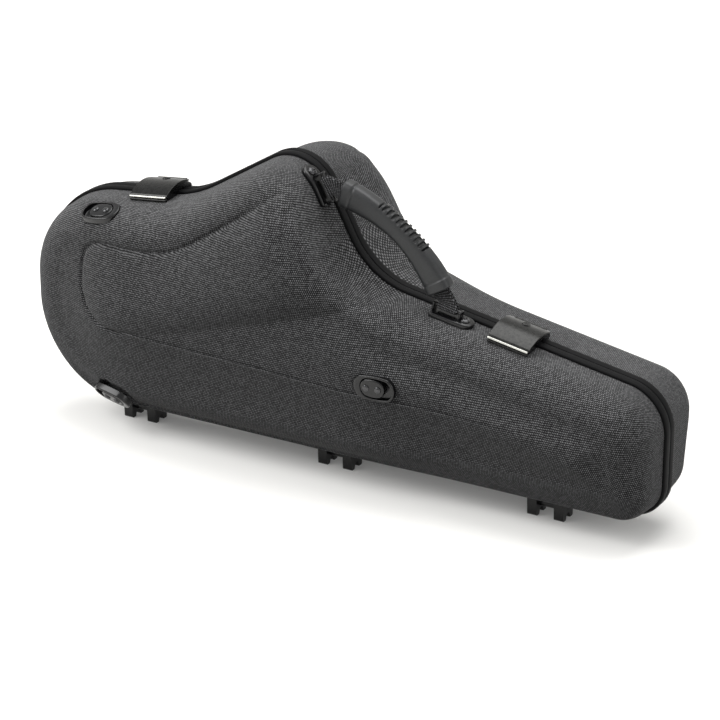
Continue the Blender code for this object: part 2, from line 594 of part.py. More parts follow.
# The foam that holds the instrument
def bell_cutter(name):
    """The flared bell, turned round its own axis, with a round throat end."""
    start, rim = Vector((BELL_START_X, 0, BELL_START_Z)), Vector((BELL_RIM_X, 0, BELL_RIM_Z))
    length = (rim - start).length
    grown = BELL_RIM_RADIUS - BELL_THROAT_RADIUS
    profile = [(0.0, length + OVERRUN), (BELL_RIM_RADIUS, length + OVERRUN)]
    for k in range(6):
        share = 1 - k / 6
        profile.append((BELL_THROAT_RADIUS + grown * share ** BELL_FLARE, length * share))
    profile += [(BELL_THROAT_RADIUS, 0.0), (0.0, 0.0)]
    made = turned(name, profile, None, tools, ROOM_SIDES)
    turn = (rim - start).to_track_quat("Z", "Y")
    return hide_cutter(place(made, Matrix.LocRotScale(start, turn, None)))


def bow_cutter(name):
    bm = bmesh.new()
    bmesh.ops.create_uvsphere(bm, u_segments=ROOM_SIDES, v_segments=ROOM_RINGS, radius=1)
    size = (BOW_LENGTH_RADIUS, BOW_DEPTH_RADIUS, BOW_HEIGHT_RADIUS)
    spot = (CHANNEL_START_X, 0, BOW_CENTRE_Z)
    bmesh.ops.transform(bm, matrix=Matrix.LocRotScale(spot, None, size), verts=bm.verts)
    return hide_cutter(from_bmesh(name, bm, None, tools))


def channel_cutter(name):
    start = (CHANNEL_START_X, 0, CHANNEL_START_Z)
    end = (CHANNEL_END_X, 0, CHANNEL_END_Z)
    return hide_cutter(rod(name, start, end, CHANNEL_BOW_RADIUS, None, tools, ROOM_SIDES,
                           CHANNEL_NECK_RADIUS))


def pocket_cutter(name):
    low = (-POCKET_LENGTH / 2, -POCKET_DEPTH, -POCKET_HEIGHT / 2)
    high = (POCKET_LENGTH / 2, OVERRUN, POCKET_HEIGHT / 2)
    made = box(name, low, high, None, tools)
    frame = top_frame(POCKET_X, POCKET_LENGTH)
    frame.translation = Vector((POCKET_X, 0, POCKET_Z))
    return hide_cutter(place(made, frame))


def liner(name, side):
    """Foam that fills a half up to the parting plane, less the room for the instrument."""
    skin = half_surface(name, side, FOAM)
    bm = bmesh.new()
    bm.from_mesh(skin.data)
    bm.normal_update()
    sink = SHELL_WALL + LINER_GAP
    rim_depth = PARTING_GAP / 2 + EDGING_FLOOR + SEAT_GAP
    shifts = [(v, v.normal * sink, abs(abs(v.co.y) - rim_depth) < SEAT_GAP / 2) for v in bm.verts]
    for vertex, shift, on_rim in shifts:
        vertex.co -= shift
        if on_rim:
            vertex.co.y = side * LINER_RECESS
    bmesh.ops.contextual_create(bm, geom=[e for e in bm.edges if e.is_boundary])
    bm.to_mesh(skin.data)
    bm.free()
    fresh = bmesh.new()
    fresh.from_mesh(skin.data)
    bmesh.ops.recalc_face_normals(fresh, faces=fresh.faces)
    fresh.to_mesh(skin.data)
    fresh.free()
    for cutter in (channel_cutter, bow_cutter, bell_cutter):
        boolean(skin, cutter(f"{name}_{cutter.__name__}"))
    if side < 0:
        boolean(skin, pocket_cutter(f"{name}_pocket"))
    return skin


def liner_blocks(whole, words):
    """Cuts a half's foam across its length into the blocks that are glued in one by one."""
    bounds = [LEFT_END_X - OVERRUN, *LINER_CUTS_X, RIGHT_END_X + OVERRUN]
    for low, high, word in zip(bounds, bounds[1:], words):
        block = new_object(f"{whole.name}_{word}", whole.data.copy(), None)
        room = box(f"{block.name}_room", (low + LINER_CUT_GAP / 2, -CASE_LENGTH, -OVERRUN),
                   (high - LINER_CUT_GAP / 2, CASE_LENGTH, CASE_LENGTH), None, tools)
        boolean(block, hide_cutter(room), "INTERSECT")
    bpy.data.objects.remove(whole, do_unlink=True)


# Hinges
def front_hinge_leaf(name, x):
    """Screwed leaf with two cheeks that take the pin; each cheek ends in a front and a back foot."""
    wall_low = TABLE_GAP + EDGING_PROUD - SEAT_GAP
    under_edging = TABLE_GAP - SEAT_GAP
    behind_edging = -EDGING_DEPTH - 2 * SEAT_GAP
    rise = (LEAF_REACH - EDGING_DEPTH) * tan(WALL_DRAFT)
    arch = HINGE_AXIS_Z - KNUCKLE_RADIUS - FOOT_EASE
    cheek = [
        (-FOOT_REACH, FOOT_EASE), (-FOOT_REACH + FOOT_EASE, 0.0), (-FOOT_REACH + FOOT_TREAD, 0.0),
        (-FOOT_TREAD / 2, arch * FOOT_ARCH_SHARE), (0.0, arch), (FOOT_TREAD / 2, arch * FOOT_ARCH_SHARE),
        (FOOT_REACH - FOOT_TREAD, 0.0), (FOOT_REACH - FOOT_EASE, 0.0), (FOOT_REACH, FOOT_EASE),
    ]
    for k in range(5):
        angle = pi / 2 * k / 4
        reach = FOOT_REACH - (FOOT_REACH - KNUCKLE_RADIUS - FOOT_EASE) * k / 4
        cheek.append((reach * cos(angle), HINGE_AXIS_Z + reach * sin(angle)))
    cheek += [(-KNUCKLE_RADIUS, under_edging), (behind_edging, under_edging), (behind_edging, wall_low),
              (-FOOT_REACH - FOOT_EASE, wall_low), (-FOOT_REACH - FOOT_EASE, under_edging)]
    half = FOOT_PITCH / 2
    plate = [(behind_edging - SEAT_GAP, wall_low - SEAT_GAP), (-LEAF_REACH, wall_low + rise),
             (-LEAF_REACH, wall_low + rise - LEAF_THICK), (behind_edging - SEAT_GAP, wall_low - LEAF_THICK)]
    reach = half + FOOT_WIDTH / 2
    leaf = slab(name, plate, x - reach + SEAT_GAP, x + reach - SEAT_GAP, PLASTIC)
    for side in (-1, 1):
        middle = x + side * half
        part = slab(f"{name}_cheek", cheek, middle - FOOT_WIDTH / 2, middle + FOOT_WIDTH / 2, PLASTIC, tools)
        boolean(leaf, part, "UNION")
    low, front = under_edging - CROSSBAR_HEIGHT, -FOOT_REACH - FOOT_EASE
    bar = [(front, low), (front + CROSSBAR_HEIGHT, low), (front + CROSSBAR_HEIGHT, under_edging),
           (behind_edging, under_edging), (behind_edging, wall_low - FOOT_EASE),
           (front, wall_low - FOOT_EASE)]
    boolean(leaf, slab(f"{name}_bar", bar, x - half, x + half, PLASTIC, tools), "UNION")
    reach = half + FOOT_WIDTH / 2 + OVERRUN
    bore = rod(f"{name}_bore", (x - reach, 0, HINGE_AXIS_Z), (x + reach, 0, HINGE_AXIS_Z),
               PIN_RADIUS + SEAT_GAP, None, tools, SMALL_SIDES)
    return boolean(leaf, hide_cutter(bore))


def rear_hinge_leaf(name, x):
    """Leaf of the lid: a knuckle between the cheeks and an arm that passes under the edging."""
    wall_low = TABLE_GAP + EDGING_PROUD - SEAT_GAP
    under_edging = TABLE_GAP - SEAT_GAP
    behind_edging = EDGING_DEPTH + 2 * SEAT_GAP
    rise = (LEAF_REACH - EDGING_DEPTH) * tan(WALL_DRAFT)
    half = (FOOT_PITCH - FOOT_WIDTH) / 2 - SEAT_GAP
    wide = (FOOT_PITCH + FOOT_WIDTH) / 2
    arm = [(0.0, HINGE_AXIS_Z + KNUCKLE_RADIUS / 2), (0.0, under_edging - FOOT_EASE),
           (FOOT_EASE, under_edging), (behind_edging, under_edging), (behind_edging, wall_low),
           (FOOT_REACH + LEAF_THICK, wall_low), (FOOT_REACH + LEAF_THICK, wall_low - LEAF_THICK),
           (KNUCKLE_RADIUS - FOOT_EASE, HINGE_AXIS_Z)]
    start = FOOT_REACH + FOOT_EASE
    plate = [(start, wall_low - LEAF_THICK + SEAT_GAP), (LEAF_REACH, wall_low + rise - LEAF_THICK),
             (LEAF_REACH, wall_low + rise), (start, wall_low - SEAT_GAP)]
    leaf = slab(name, arm, x - half + SEAT_GAP, x + half - SEAT_GAP, PLASTIC)
    boolean(leaf, slab(f"{name}_plate", plate, x - wide, x + wide, PLASTIC, tools), "UNION")
    knuckle = rod(f"{name}_knuckle", (x - half, 0, HINGE_AXIS_Z), (x + half, 0, HINGE_AXIS_Z),
                  KNUCKLE_RADIUS, PLASTIC, tools)
    boolean(leaf, knuckle, "UNION")
    reach = half + OVERRUN
    bore = rod(f"{name}_bore", (x - reach, 0, HINGE_AXIS_Z), (x + reach, 0, HINGE_AXIS_Z),
               PIN_RADIUS + SEAT_GAP, None, tools, SMALL_SIDES)
    return boolean(leaf, hide_cutter(bore))


def hinge_pin(name, x):
    reach = (FOOT_PITCH + FOOT_WIDTH) / 2
    start, end = (x - reach, 0, HINGE_AXIS_Z), (x + reach, 0, HINGE_AXIS_Z)
    return rod(name, start, end, PIN_RADIUS, STEEL, sides=SMALL_SIDES)


# Latches, drawn in a frame with X along the outline, Z out of the case and zero on the edging
def cover_arc():
    """Centre and radius of the cover's outer arc in (y, z)."""
    near, far = np.array([COVER_NEAR_Y, COVER_NEAR_Z]), np.array([COVER_FAR_Y, COVER_FAR_Z])
    chord = far - near
    span = np.linalg.norm(chord)
    radius = (span ** 2 / 4 + COVER_SAGITTA ** 2) / (2 * COVER_SAGITTA)
    up = np.array([-chord[1], chord[0]]) / span
    return (near + far) / 2 - up * (radius - COVER_SAGITTA), radius


def arc_points(radius, from_y, to_y, steps=7):
    """Points at a radius round the cover's centre between two values of y."""
    centre, _ = cover_arc()
    first, last = (acos((y - centre[0]) / radius) for y in (from_y, to_y))
    angles = np.linspace(first, last, steps)
    return [(centre[0] + radius * cos(a), centre[1] + radius * sin(a)) for a in angles]


def wall_height(y):
    """Local height of the shell's side wall at a depth, less the seat gap."""
    return SEAT_GAP - wall_inset(abs(y))


def latch_keeper(name, frame):
    """Housing on the front half: two cheeks under the cover, and a catch between them."""
    _, radius = cover_arc()
    under = radius - COVER_THICK - SEAT_GAP
    near, far = COVER_NEAR_Y + BAR_DEPTH + SEAT_GAP, -PARTING_GAP
    back = -EDGING_DEPTH - 2 * SEAT_GAP
    side = arc_points(under, near, far) + [(far, SEAT_GAP), (back, SEAT_GAP), (back, wall_height(back)),
                                           (near, wall_height(near))]
    half = LATCH_WIDTH / 2 - SEAT_GAP
    made = slab(name, side, -half, half, PLASTIC)
    inside = half - HOUSING_CHEEK
    front, floor = near + HOUSING_CHEEK / 2, wall_height(near) + CATCH_HEIGHT / 2
    well_end = CLAW_Y + CLAW_THICK + SEAT_GAP
    low = wall_height(near) - OVERRUN
    room = [(front, floor), (well_end, floor), (well_end, SEAT_GAP * 2), (back - SEAT_GAP, SEAT_GAP * 2),
            (back - SEAT_GAP, low), (OVERRUN, low), (OVERRUN, radius), (front, radius)]
    boolean(made, hide_cutter(slab(f"{name}_room", room, -inside, inside, None, tools)))
    return place(made, frame)


def keeper_bar(name, frame):
    half = LATCH_WIDTH / 2 - SEAT_GAP
    low = wall_height(COVER_NEAR_Y)
    made = box(name, (-half, COVER_NEAR_Y, low), (half, COVER_NEAR_Y + BAR_DEPTH, low + BAR_HEIGHT),
               CHROME, ease=LIP_EASE)
    return place(made, frame)


def latch_base(name, frame):
    """Housing on the lid that carries the lever's pin between its cheeks."""
    _, radius = cover_arc()
    under = radius - COVER_THICK - SEAT_GAP
    near, back = PARTING_GAP, EDGING_DEPTH + 2 * SEAT_GAP
    ear = LEVER_AXIS_Z + LEVER_BARREL_RADIUS
    top = [p for p in arc_points(under, near, LEVER_AXIS_Y - LEVER_BARREL_RADIUS, 4)]
    round_end = []
    for k in range(5):
        angle = pi / 3 - pi / 5 * k
        round_end.append((LEVER_AXIS_Y + LEVER_BARREL_RADIUS * cos(angle),
                          LEVER_AXIS_Z + LEVER_BARREL_RADIUS * sin(angle)))
    side = top + round_end + [(HOUSING_BACK_Y, wall_height(HOUSING_BACK_Y)), (back, wall_height(back)),
                              (back, SEAT_GAP), (near, SEAT_GAP)]
    half = LATCH_WIDTH / 2 - SEAT_GAP
    made = slab(name, side, -half, half, PLASTIC)
    inside = half - HOUSING_CHEEK
    hollow = box(f"{name}_hollow", (-inside, near - OVERRUN, SEAT_GAP + FOOT_EASE), (inside, back, radius),
                 None, tools)
    boolean(made, hide_cutter(hollow))
    room = rod(f"{name}_room", (-inside, LEVER_AXIS_Y, LEVER_AXIS_Z), (inside, LEVER_AXIS_Y, LEVER_AXIS_Z),
               LEVER_BARREL_RADIUS + SEAT_GAP, None, tools, SMALL_SIDES)
    boolean(made, hide_cutter(room))
    over = box(f"{name}_over", (-inside, back - OVERRUN, LEVER_AXIS_Z),
               (inside, HOUSING_BACK_Y + OVERRUN, ear + radius), None, tools)
    boolean(made, hide_cutter(over))
    bore = rod(f"{name}_bore", (-half - OVERRUN, LEVER_AXIS_Y, LEVER_AXIS_Z),
               (half + OVERRUN, LEVER_AXIS_Y, LEVER_AXIS_Z), LEVER_PIN_RADIUS + SEAT_GAP, None, tools,
               SMALL_SIDES)
    boolean(made, hide_cutter(bore))
    return place(made, frame)


def lever_pin(name, frame):
    half = LATCH_WIDTH / 2 - SEAT_GAP
    made = rod(name, (-half, LEVER_AXIS_Y, LEVER_AXIS_Z), (half, LEVER_AXIS_Y, LEVER_AXIS_Z),
               LEVER_PIN_RADIUS, STEEL, sides=SMALL_SIDES)
    return place(made, frame)


def lock_frame():
    """A frame whose Z leaves the cover at the lock."""
    centre, radius = cover_arc()
    angle = acos((LOCK_Y - centre[0]) / radius)
    spot = (0, centre[0] + radius * cos(angle), centre[1] + radius * sin(angle))
    return Matrix.Translation(spot) @ Matrix.Rotation(angle - pi / 2, 4, "X")


def latch_lever(name, frame):
    """Curved cover with a barrel for the pin under its far edge."""
    _, radius = cover_arc()
    outer = arc_points(radius, COVER_NEAR_Y, COVER_FAR_Y)
    inner = arc_points(radius - COVER_THICK, COVER_FAR_Y, COVER_NEAR_Y)
    half = LATCH_WIDTH / 2
    made = slab(name, outer + inner, -half, half, CHROME)
    bm = bmesh.new()
    bm.from_mesh(made.data)
    far_edges = [e for e in bm.edges if all(abs(abs(v.co.x) - half) < SEAT_GAP for v in e.verts)
                 and min(v.co.y for v in e.verts) > COVER_FAR_Y - COVER_THICK * 2
                 and abs(e.verts[0].co.x - e.verts[1].co.x) < SEAT_GAP
                 and abs((e.verts[0].co - e.verts[1].co).length - COVER_THICK) < SEAT_GAP]
    bmesh.ops.bevel(bm, geom=far_edges, offset=COVER_CORNER, segments=3, affect="EDGES", profile=0.5,
                    clamp_overlap=True)
    bm.to_mesh(made.data)
    bm.free()
    inside = half - HOUSING_CHEEK - 2 * SEAT_GAP
    axis = (LEVER_AXIS_Y, LEVER_AXIS_Z)
    wide = LEVER_BARREL_RADIUS * LEVER_WEB_SHARE
    top = arc_points(radius - COVER_THICK / 2, axis[0] - wide, axis[0] + wide, 3)
    web = slab(f"{name}_web", top + [(axis[0] + wide, axis[1]), (axis[0] - wide, axis[1])],
               -inside, inside, CHROME, tools)
    boolean(made, web, "UNION")
    barrel = rod(f"{name}_barrel", (-inside, *axis), (inside, *axis), LEVER_BARREL_RADIUS, CHROME, tools,
                 SMALL_SIDES)
    boolean(made, barrel, "UNION")
    bore = rod(f"{name}_bore", (-half, *axis), (half, *axis), LEVER_PIN_RADIUS + SEAT_GAP, None, tools,
               SMALL_SIDES)
    boolean(made, hide_cutter(bore))
    key = rod(f"{name}_key", (0, 0, -LOCK_LENGTH), (0, 0, LOCK_LENGTH), LOCK_RADIUS + SEAT_GAP, None, tools)
    boolean(made, hide_cutter(place(key, lock_frame())))
    return place(made, frame)


def latch_lip(name, frame):
    half = LATCH_WIDTH / 2 - SEAT_GAP
    low = COVER_NEAR_Z - LIP_HEIGHT
    made = box(name, (-half, COVER_NEAR_Y - LIP_DEPTH - SEAT_GAP, low),
               (half, COVER_NEAR_Y - SEAT_GAP, low + LIP_HEIGHT), BRIGHT, ease=LIP_EASE)
    return place(made, frame)


def latch_claw(name, frame):
    """Hook plate under the cover; its nose ends just over the keeper's catch."""
    _, radius = cover_arc()
    under = radius - COVER_THICK - SEAT_GAP
    nose_low = SEAT_GAP * 3
    top = arc_points(under, CLAW_Y, CLAW_Y + CLAW_THICK * 4, 4)
    inner = arc_points(under - CLAW_THICK, CLAW_Y + CLAW_THICK * 4, CLAW_Y + CLAW_THICK, 4)
    side = [(CLAW_Y, nose_low)] + top + inner + [(CLAW_Y + CLAW_THICK, nose_low)]
    made = slab(name, side, -CLAW_WIDTH / 2, CLAW_WIDTH / 2, STEEL)
    return place(made, frame)


def latch_lock(name, frame):
    made = rod(name, (0, 0, LOCK_PROUD - LOCK_LENGTH), (0, 0, LOCK_PROUD), LOCK_RADIUS, CHROME)
    slot = box(f"{name}_slot", (-KEY_SLOT_LENGTH / 2, -KEY_SLOT_WIDTH / 2, LOCK_PROUD - KEY_SLOT_DEPTH),
               (KEY_SLOT_LENGTH / 2, KEY_SLOT_WIDTH / 2, LOCK_PROUD + OVERRUN), None, tools)
    boolean(made, hide_cutter(slot))
    return place(made, frame @ lock_frame())


def moving_origin(piece, spot):
    """Puts a piece's origin on its joint's axis and leaves its shape where it is."""
    piece.data.transform(Matrix.Translation(-Vector(spot)))
    piece.location = spot
    return piece


# Handle
def wall_frame(run):
    """A frame on the front half's upper side wall: its X along the outline, its Z out of the case."""
    spot = on_upper(run, BRACKET_Y, 0.0)
    way = on_upper(run + BEND_STEP, BRACKET_Y, 0.0) - on_upper(run - BEND_STEP, BRACKET_Y, 0.0)
    way.normalize()
    across = Vector((0, 1, 0))
    frame = Matrix((way, across, way.cross(across))).transposed().to_4x4()
    frame.translation = spot
    return frame


def bar_place(x):
    return wall_frame(upper_run_at(x)) @ Vector((0, 0, BRACKET_THICK + BAR_RISE))


def bent_on_case(piece, run, flip):
    """Wraps a flat piece, drawn with X along the outline, onto the side wall at a run."""
    bm = bmesh.new()
    bm.from_mesh(piece.data)
    ends = [v.co.x for v in bm.verts]
    count = int((max(ends) - min(ends)) / BEND_STEP)
    for k in range(1, count):
        cut = min(ends) + k * BEND_STEP
        bmesh.ops.bisect_plane(bm, geom=bm.verts[:] + bm.edges[:] + bm.faces[:], plane_co=(cut, 0, 0),
                               plane_no=(1, 0, 0), dist=SEAT_GAP / 10)
    bm.to_mesh(piece.data)
    bm.free()
    for vertex in piece.data.vertices:
        x, y, z = vertex.co
        vertex.co = on_upper(run + flip * x, BRACKET_Y + y, z)
    bm = bmesh.new()
    bm.from_mesh(piece.data)
    bmesh.ops.recalc_face_normals(bm, faces=bm.faces)
    bm.to_mesh(piece.data)
    bm.free()
    return piece


def handle_bracket(name, x, flip):
    """Plate with a round screw end, bent to the case, and two ears joined by a bar."""
    run = upper_run_at(x)
    ear, rise = BAR_REACH / 2, BRACKET_THICK + BAR_RISE
    radius = BRACKET_WIDTH / 2
    tip = radius * TIP_SHARE
    rim = [(-SCREW_OFFSET + tip * cos(a), tip * sin(a)) for a in np.linspace(pi / 2, 3 * pi / 2, 7)]
    rim += [(-ear, -radius), (ear + EAR_THICK, -radius), (ear + EAR_THICK, radius), (-ear, radius)]
    bm = bmesh.new()
    face = bm.faces.new([bm.verts.new((px, py, SEAT_GAP)) for px, py in rim])
    pulled = bmesh.ops.extrude_face_region(bm, geom=[face])["geom"]
    moved = [v for v in pulled if isinstance(v, bmesh.types.BMVert)]
    bmesh.ops.translate(bm, vec=(0, 0, BRACKET_THICK), verts=moved)
    made = bent_on_case(from_bmesh(name, bm, PLASTIC), run, flip)
    frame = wall_frame(run)
    for side in (-1, 1):
        inner, outer = side * ear, side * (ear + EAR_THICK)
        low = (min(inner, outer), -EAR_WIDTH / 2, BRACKET_THICK / 4)
        high = (max(inner, outer), EAR_WIDTH / 2, rise + BAR_RADIUS + SEAT_GAP)
        part = box(f"{name}_ear", low, high, PLASTIC, tools, ease=EAR_THICK / 4)
        boolean(made, place(part, frame), "UNION")
    reach = ear + EAR_THICK / 2
    bar = rod(f"{name}_bar", (-reach, 0, rise), (reach, 0, rise), BAR_RADIUS, PLASTIC, tools, SMALL_SIDES)
    boolean(made, place(bar, frame), "UNION")
    hole = rod(f"{name}_hole", (0, 0, -OVERRUN), (0, 0, rise), SCREW_RADIUS / 2 + SEAT_GAP, None, tools,
               SMALL_SIDES)
    return boolean(made, hide_cutter(place(hole, wall_frame(run - flip * SCREW_OFFSET))))


def bracket_screw(name, x, flip):
    """Domed screw whose shank fills the plate's hole."""
    top, shank = BRACKET_THICK + 4 * SEAT_GAP, SCREW_RADIUS / 2
    profile = [(0.0, top + SCREW_DOME),
               (SCREW_RADIUS * DOME_SHOULDER_SHARE, top + SCREW_DOME * DOME_RISE_SHARE),
               (SCREW_RADIUS, top), (shank, top), (shank, 2 * SEAT_GAP), (0.0, 2 * SEAT_GAP)]
    made = turned(name, profile, STEEL, sides=SMALL_SIDES)
    return place(made, wall_frame(upper_run_at(x) - flip * SCREW_OFFSET))


def handle_arch():
    """Circle of the handle's middle line: its centre, radius, upward and long directions, and its sweep."""
    high, low = bar_place(BRACKET_HIGH_X), bar_place(BRACKET_LOW_X)
    chord = low - high
    span = chord.length
    radius = (span ** 2 / 4 + HANDLE_SAGITTA ** 2) / (2 * HANDLE_SAGITTA)
    along = chord / span
    up = Vector((-along.z, 0, along.x))
    centre = (high + low) / 2 - up * (radius - HANDLE_SAGITTA)
    spread = 2 * acos((radius - HANDLE_SAGITTA) / radius)
    return centre, radius, up, along, spread


def arch_place(run):
    """Point, direction and outward normal on the arch at a run from its high end."""
    centre, radius, up, along, spread = handle_arch()
    angle = -spread / 2 + run / radius
    out = up * cos(angle) + along * sin(angle)
    way = along * cos(angle) - up * sin(angle)
    return centre + out * radius, way, out


def arch_length():
    _, radius, _, _, spread = handle_arch()
    return radius * spread


def grip(name):
    """Ribbed rubber grip, lofted along the arch, wider at its ends."""
    start, end = WEB_LENGTH, arch_length() - WEB_LENGTH
    length = end - start
    stations = [0.0, GRIP_EASE, GRIP_COLLAR, GRIP_SLEEVE]
    first_rib = length / 2 - GRIP_RIBS * RIB_PITCH / 2
    marks = [(s, 0.0) for s in stations if s < first_rib]
    for k in range(GRIP_RIBS):
        foot = first_rib + k * RIB_PITCH
        marks += [(foot, 0.0), (foot + RIB_PITCH * RIB_START_SHARE, 1.0),
                  (foot + RIB_PITCH * RIB_END_SHARE, 1.0)]
    marks.append((first_rib + GRIP_RIBS * RIB_PITCH, 0.0))
    marks += [(length - s, 0.0) for s in reversed(stations) if s < first_rib]
    rings = []
    for run, rib in marks:
        spot, way, out = arch_place(start + run)
        from_end = min(run, length - run)
        widen = 1 - smooth_step(from_end / (length / 2))
        ease = GRIP_END_SHARE if from_end < SEAT_GAP else 1.0
        half_out = (GRIP_WIDTH + (GRIP_END_WIDTH - GRIP_WIDTH) * widen) / 2 * ease
        half_side = GRIP_THICK / 2 * ease
        ring = []
        for k in range(GRIP_SIDES):
            angle = 2 * pi * k / GRIP_SIDES
            lift, wide = cos(angle), sin(angle)
            square = max(abs(lift), abs(wide)) ** GRIP_SQUARE
            rise = lift / square * half_out + RIB_HEIGHT * rib * max(0.0, lift)
            ring.append(spot + out * rise + Vector((0, 1, 0)) * (wide / square * half_side))
        rings.append([tuple(p) for p in ring])
    made = loft(name, rings, GRIP_RUBBER, caps=(True, True))
    for side in (0, 1):
        mouth = start if side == 0 else end
        inner = mouth + (WEB_TUCK if side == 0 else -WEB_TUCK)
        rings = []
        for run in (mouth + (-OVERRUN if side == 0 else OVERRUN), inner):
            spot, way, out = arch_place(run)
            wide = out * (WEB_WIDTH / 2 - SEAT_GAP)
            deep = Vector((0, WEB_POCKET, 0))
            rings.append([tuple(spot + wide * a + deep * b) for a, b in ((1, 1), (-1, 1), (-1, -1), (1, -1))])
        pocket = loft(f"{name}_pocket_{side}", rings, None, tools, caps=(True, True))
        boolean(made, hide_cutter(pocket))
    return made


def web_loop(name, x, high):
    """Band from the grip's end, once round the bracket's bar and back."""
    bar = bar_place(x)
    bar_way = wall_frame(upper_run_at(x)).to_3x3().col[0].normalized()
    tuck = WEB_LENGTH + WEB_TUCK - SEAT_GAP * 2
    length = arch_length()
    inside, _, out = arch_place(tuck if high else length - tuck)
    mouth, _, out_mouth = arch_place(WEB_LENGTH if high else length - WEB_LENGTH)
    if out.dot(bar_way) < 0:
        bar_way = -bar_way
    side = Vector((0, 1, 0))
    layer = WEB_THICK / 2 + SEAT_GAP
    wrap = BAR_RADIUS + SEAT_GAP + WEB_THICK / 2
    away = (bar - mouth)
    away -= bar_way * away.dot(bar_way)
    away.normalize()
    over_ears = bar - away * (BAR_RADIUS + WEB_CLEAR)
    path = [(inside + side * layer, side, out, WEB_GRIP_SHARE),
            (mouth + side * layer, side, out_mouth, WEB_GRIP_SHARE),
            (over_ears + side * layer, side, bar_way, WEB_BAR_SHARE)]
    for angle in np.linspace(0, pi, WRAP_STEPS + 1):
        normal = side * cos(angle) + away * sin(angle)
        path.append((bar + normal * wrap, normal, bar_way, WEB_BAR_SHARE))
    path += [(over_ears - side * layer, -side, bar_way, WEB_BAR_SHARE),
             (mouth - side * layer, -side, out_mouth, WEB_GRIP_SHARE),
             (inside - side * layer, -side, out, WEB_GRIP_SHARE)]
    rings = []
    for spot, normal, wide, share in path:
        a, b = wide * (WEB_WIDTH / 2 * share), normal * (WEB_THICK / 2)
        rings.append([tuple(p) for p in (spot + a + b, spot - a + b, spot - a - b, spot + a - b)])
    return loft(name, rings, WEBBING, caps=(True, True))


# Strap anchors
def surface_frame(tree, x, z, open_way):
    """A frame on the front shell at (x, z): its Z leaves the case and its X looks to the open end."""
    spot, normal, _, _ = tree.ray_cast(Vector((x, -CASE_LENGTH, z)), Vector((0, 1, 0)))
    way = Vector((open_way, 0, 0))
    way = (way - normal * way.dot(normal)).normalized()
    across = normal.cross(way)
    frame = Matrix((way, across, normal)).transposed().to_4x4()
    frame.translation = spot
    return frame


def anchor_room(name, frame):
    made = stadium(name, ANCHOR_LENGTH + 2 * SEAT_GAP, ANCHOR_WIDTH + 2 * SEAT_GAP, -ANCHOR_SINK - SEAT_GAP,
                   ANCHOR_PROUD + ANCHOR_SINK, None, tools)
    return hide_cutter(place(made, frame))


def strap_anchor(name, frame):
    """Cup let into the shell: a rim round a well, wide at its closed end."""
    made = stadium(name, ANCHOR_LENGTH, ANCHOR_WIDTH, -ANCHOR_SINK, ANCHOR_PROUD, PLASTIC)
    floor = ANCHOR_PROUD - ANCHOR_WELL
    well = stadium(f"{name}_well", ANCHOR_LENGTH - ANCHOR_RIM - ANCHOR_CLOSED_RIM,
                   ANCHOR_WIDTH - 2 * ANCHOR_RIM, floor, ANCHOR_PROUD + OVERRUN, None, tools,
                   shift=(ANCHOR_CLOSED_RIM - ANCHOR_RIM) / 2)
    boolean(made, hide_cutter(well))
    return place(made, frame)


def boss_middle():
    """Middle of the boss, which stands against the well's closed end."""
    return ANCHOR_CLOSED_RIM - ANCHOR_LENGTH / 2 + SEAT_GAP + BOSS_LENGTH / 2


def anchor_boss(name, frame):
    """Oval boss in the well that the strap's hook closes on, drilled for its two rivets."""
    floor = ANCHOR_PROUD - ANCHOR_WELL + SEAT_GAP
    made = stadium(name, BOSS_LENGTH, BOSS_WIDTH, floor, BOSS_PROUD, PLASTIC, shift=boss_middle(), steps=6)
    for side in (-1, 1):
        spot = boss_middle() + side * RIVET_PITCH / 2
        hole = rod(f"{name}_hole", (spot, 0, BOSS_PROUD - RIVET_SHANK - SEAT_GAP),
                   (spot, 0, BOSS_PROUD + OVERRUN), RIVET_RADIUS * RIVET_SHANK_SHARE + SEAT_GAP, None, tools,
                   SMALL_SIDES)
        boolean(made, hide_cutter(hole))
    return place(made, frame)


def anchor_rivet(name, frame, side):
    low, head = BOSS_PROUD - RIVET_SHANK, BOSS_PROUD + SEAT_GAP
    shank = RIVET_RADIUS * RIVET_SHANK_SHARE
    profile = [(0.0, head + RIVET_DOME),
               (RIVET_RADIUS * DOME_SHOULDER_SHARE, head + RIVET_DOME * DOME_RISE_SHARE),
               (RIVET_RADIUS, head), (shank, head), (shank, low), (0.0, low)]
    made = turned(name, profile, STEEL, sides=SMALL_SIDES)
    spot = boss_middle() + side * RIVET_PITCH / 2
    return place(made, frame @ Matrix.Translation((spot, 0, 0)))


